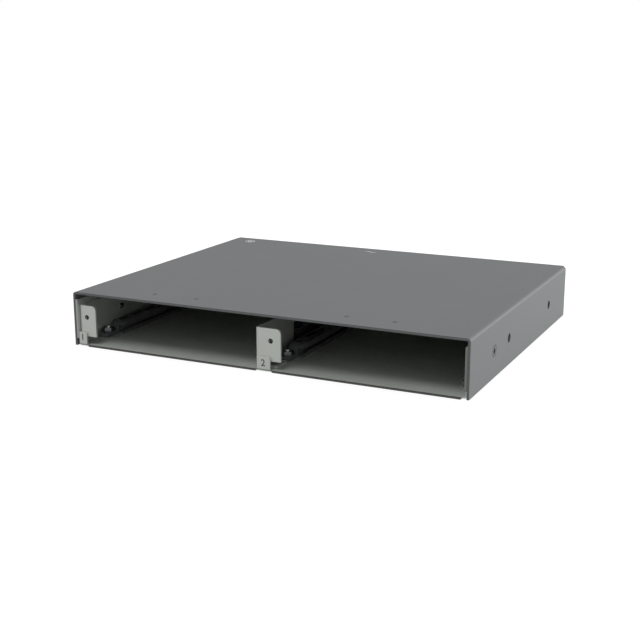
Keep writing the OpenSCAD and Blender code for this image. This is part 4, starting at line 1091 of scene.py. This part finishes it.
striped = surface("Green and yellow insulation", (0.03, 0.24, 0.05), roughness=0.4)
tree = striped.node_tree
wrap = node_in(tree, "ShaderNodeUVMap", uv_map="UVMap").outputs["UV"]
turn = node_in(tree, "ShaderNodeSeparateXYZ", {"Vector": wrap}).outputs["X"]
wave = math_in(tree, "PINGPONG", turn, 0.25)
tint(striped, math_in(tree, "LESS_THAN", wave, stripe_share / 4), (0.72, 0.55, 0.03))
settle(lead_piece("earth_lead_insulation", earth_route), striped, "earth_wire", "earth_lead")
settle(sleeve_piece("earth_lead_sleeve", earth_route[-1]), nylon, "earth_wire")
for group, routes in (("mains", mains_routes), ("supply", supply_routes)):
    for shade, route in routes.items():
        insulation = surface(shade.capitalize() + " insulation", wire_colours[shade], roughness=0.4)
        settle(lead_piece("lead_" + shade, route), insulation, group + "_wire", group + "_leads")
        if group == "mains":
            settle(sleeve_piece("sleeve_" + shade, route[0]), nylon, "mains_wire")

# Cover: one steel sheet bent down along both sides and round the rear corners, powder coated in
# dark grey with a fine texture. The coat runs thin over its edges, which shine a little. Four
# dimples are pressed down behind the front edge, a pair above each slot.
coat_edge = 0.3
coat = surface("Dark grey powder coat", (0.122, 0.128, 0.130), roughness=0.55, drift=0.015,
               cloud=40, depth=0.02, grain=0.35, patchy=0.008, Specular_IOR_Level=0.3)
dress("top_cover", coat, "painted_steel", coat_edge, steps=3)

# Cover screws: a countersunk one of black nickel in each side, with a wide cross recess, and a
# bright pan-head one in each rear corner.
wide_recess = (3.2, 0.9, 1.1)
side_cone = 1.3
dark_nickel = metal("Black nickel plate", (0.12, 0.12, 0.125), 0.22, drift=0.08, depth=0.003)
side_screw = flat_screw(side_cone, extent("cover_side_screws", rightward), wide_recess)
outward = [leftward if low.x < 0 else rightward for low, high in solids_of("cover_side_screws")]
refit("cover_side_screws", side_screw, outward, dark_nickel, slot="nickel", seed=17)
pan_screws("cover_rear_screws", rearward, seed=19)

# Marks: white printed signs on the cover's rear edge, an earth sign above the earth stud and a
# wave for alternating current above the inlet.
paint = surface("White printing ink", (0.72, 0.74, 0.74), cloud=1, depth=0.003, grain=0.15)
print_low = cad_box[1][2] / mm - 0.05
print_high = cad_box[1][2] / mm + 0.03
mark_y = corner(0, 160.5, 0).y
earth_x = middle_of("earth_stud").x
inlet_x = middle_of("inlet_body").x
bar_t = 0.45
ring_t = 0.4
ring_r = 2.9
wave_l = 7.0
wave_h = 1.1
wave_t = 0.55
signs = bmesh.new()


def band(inner, outer, ring=False):
    """Adds a flat printed band, or a closed ring, between two lines of points on the cover."""
    rows = [[signs.verts.new(point) for point in (
        (*a, print_low), (*a, print_high), (*b, print_high), (*b, print_low))]
        for a, b in zip(inner, outer)]
    skin(signs, rows + rows[:1] * ring, capped=not ring)


earth_bars = ((1.1, bar_t, 1.9), (0, 3.4, bar_t), (-0.85, 2.3, bar_t), (-1.7, 1.2, bar_t))
for rise, width, length in earth_bars:
    block_work(signs, (earth_x - width / 2, mark_y + rise - length / 2, print_low),
               (earth_x + width / 2, mark_y + rise + length / 2, print_high))
turns = [2 * math.pi * k / 48 for k in range(48)]
band(*[[(earth_x + r * math.cos(a), mark_y + r * math.sin(a)) for a in turns]
       for r in (ring_r - ring_t, ring_r)], ring=True)
wave = [((t / 32 - 0.5) * wave_l, wave_h * math.sin(math.pi * t / 16)) for t in range(33)]
band(*[[(inlet_x + x, mark_y + y + side * wave_t / 2) for x, y in wave] for side in (-1, 1)])
settle(piece_of(signs, "printed_signs"), paint, "painted_steel")

# Floor, light and camera: a white table in a white room that leaves the chassis's own foot free,
# a broad soft lamp above in front and one behind on the right, and the photograph's own view of
# the chassis from its front right.
floor_size = 40.0
floor_z = -0.0001
foot_inset = 0.004
table_grey = 0.35
lift_reach = (0.25, 1.0)
lift_levels = (0.75, 1.02)
floor_mirrored = 0.3
room_levels = (1.0, 0.72, 0.66)
lens = 64.63
camera_place = Vector((0.2505, -0.5464, 0.1589))
camera_target = Vector((-0.00716, -0.004, 0.00421))
lamps = {
    "Lamp above": ((-0.15, -0.8, 1.65), (0.8, 0.7), 11),
    "Lamp right": ((1.4, 0.9, 0.35), (1.2, 0.6), 31),
}


def level(tree, seen, mirrored, felt):
    """Strength that the eye and glass see, that gloss mirrors, and that lights the object."""
    rays = node_in(tree, "ShaderNodeLightPath").outputs
    strength = felt
    for ray, value in (("Camera", seen), ("Transmission", seen), ("Glossy", mirrored)):
        share = math_in(tree, "MULTIPLY", rays["Is %s Ray" % ray], value)
        strength = math_in(tree, "MAXIMUM", share, strength)
    return strength


floor_mesh = bmesh.new()
foot = (cad_box[1][0] - foot_inset, cad_box[1][1] - foot_inset)
outer, inner = [[floor_mesh.verts.new((x * i, y * j, floor_z))
                 for i, j in ((-1, -1), (1, -1), (1, 1), (-1, 1))]
                for x, y in ((floor_size / 2, floor_size / 2), foot)]
for k in range(4):
    floor_mesh.faces.new((outer[k], outer[(k + 1) % 4], inner[(k + 1) % 4], inner[k]))
floor = piece_of(floor_mesh, "floor")
table = bpy.data.materials.new("White table")
table.use_nodes = True
tree = table.node_tree
matt = tree.nodes["Principled BSDF"]
matt.inputs["Base Color"].default_value = (table_grey, table_grey, table_grey, 1)
matt.inputs["Roughness"].default_value = 0.9
matt.inputs["Specular IOR Level"].default_value = 0.1
place = node_in(tree, "ShaderNodeTexCoord").outputs["Object"]
away = node_in(tree, "ShaderNodeVectorMath", {0: place}, operation="LENGTH").outputs["Value"]
fade = node_in(tree, "ShaderNodeMapRange", {
    "Value": away, "From Min": lift_reach[0], "From Max": lift_reach[1],
    "To Min": lift_levels[0], "To Max": lift_levels[1]}).outputs["Result"]
lift = node_in(tree, "ShaderNodeEmission", {"Strength": level(tree, fade, floor_mirrored, 0.0)})
lifted = node_in(tree, "ShaderNodeAddShader", {0: matt.outputs[0], 1: lift.outputs[0]})
below = node_in(tree, "ShaderNodeNewGeometry").outputs["Backfacing"]
clear = node_in(tree, "ShaderNodeBsdfTransparent").outputs["BSDF"]
one_sided = node_in(tree, "ShaderNodeMixShader", {0: below, 1: lifted.outputs["Shader"], 2: clear})
tree.links.new(one_sided.outputs["Shader"], tree.nodes["Material Output"].inputs["Surface"])
floor.data.materials.append(table)

world = bpy.data.worlds.new("White room")
bpy.context.scene.world = world
world.use_nodes = True
room = world.node_tree.nodes["Background"]
room.inputs["Color"].default_value = (1, 1, 1, 1)
world.node_tree.links.new(level(world.node_tree, *room_levels), room.inputs["Strength"])

for name, (place, size, power) in lamps.items():
    light = bpy.data.lights.new(name, "AREA")
    light.shape = "RECTANGLE"
    light.size, light.size_y = size
    light.energy = power
    lamp = in_scene(name, light)
    lamp.location = place
    lamp.rotation_euler = (-Vector(place)).to_track_quat("-Z", "Y").to_euler()

eye = bpy.data.cameras.new("Camera")
eye.sensor_width = 36
eye.lens = lens
camera = in_scene("Camera", eye)
camera.location = camera_place
camera.rotation_euler = (camera_target - camera_place).to_track_quat("-Z", "Y").to_euler()
bpy.context.scene.camera = camera
bpy.context.scene.view_settings.view_transform = "Standard"
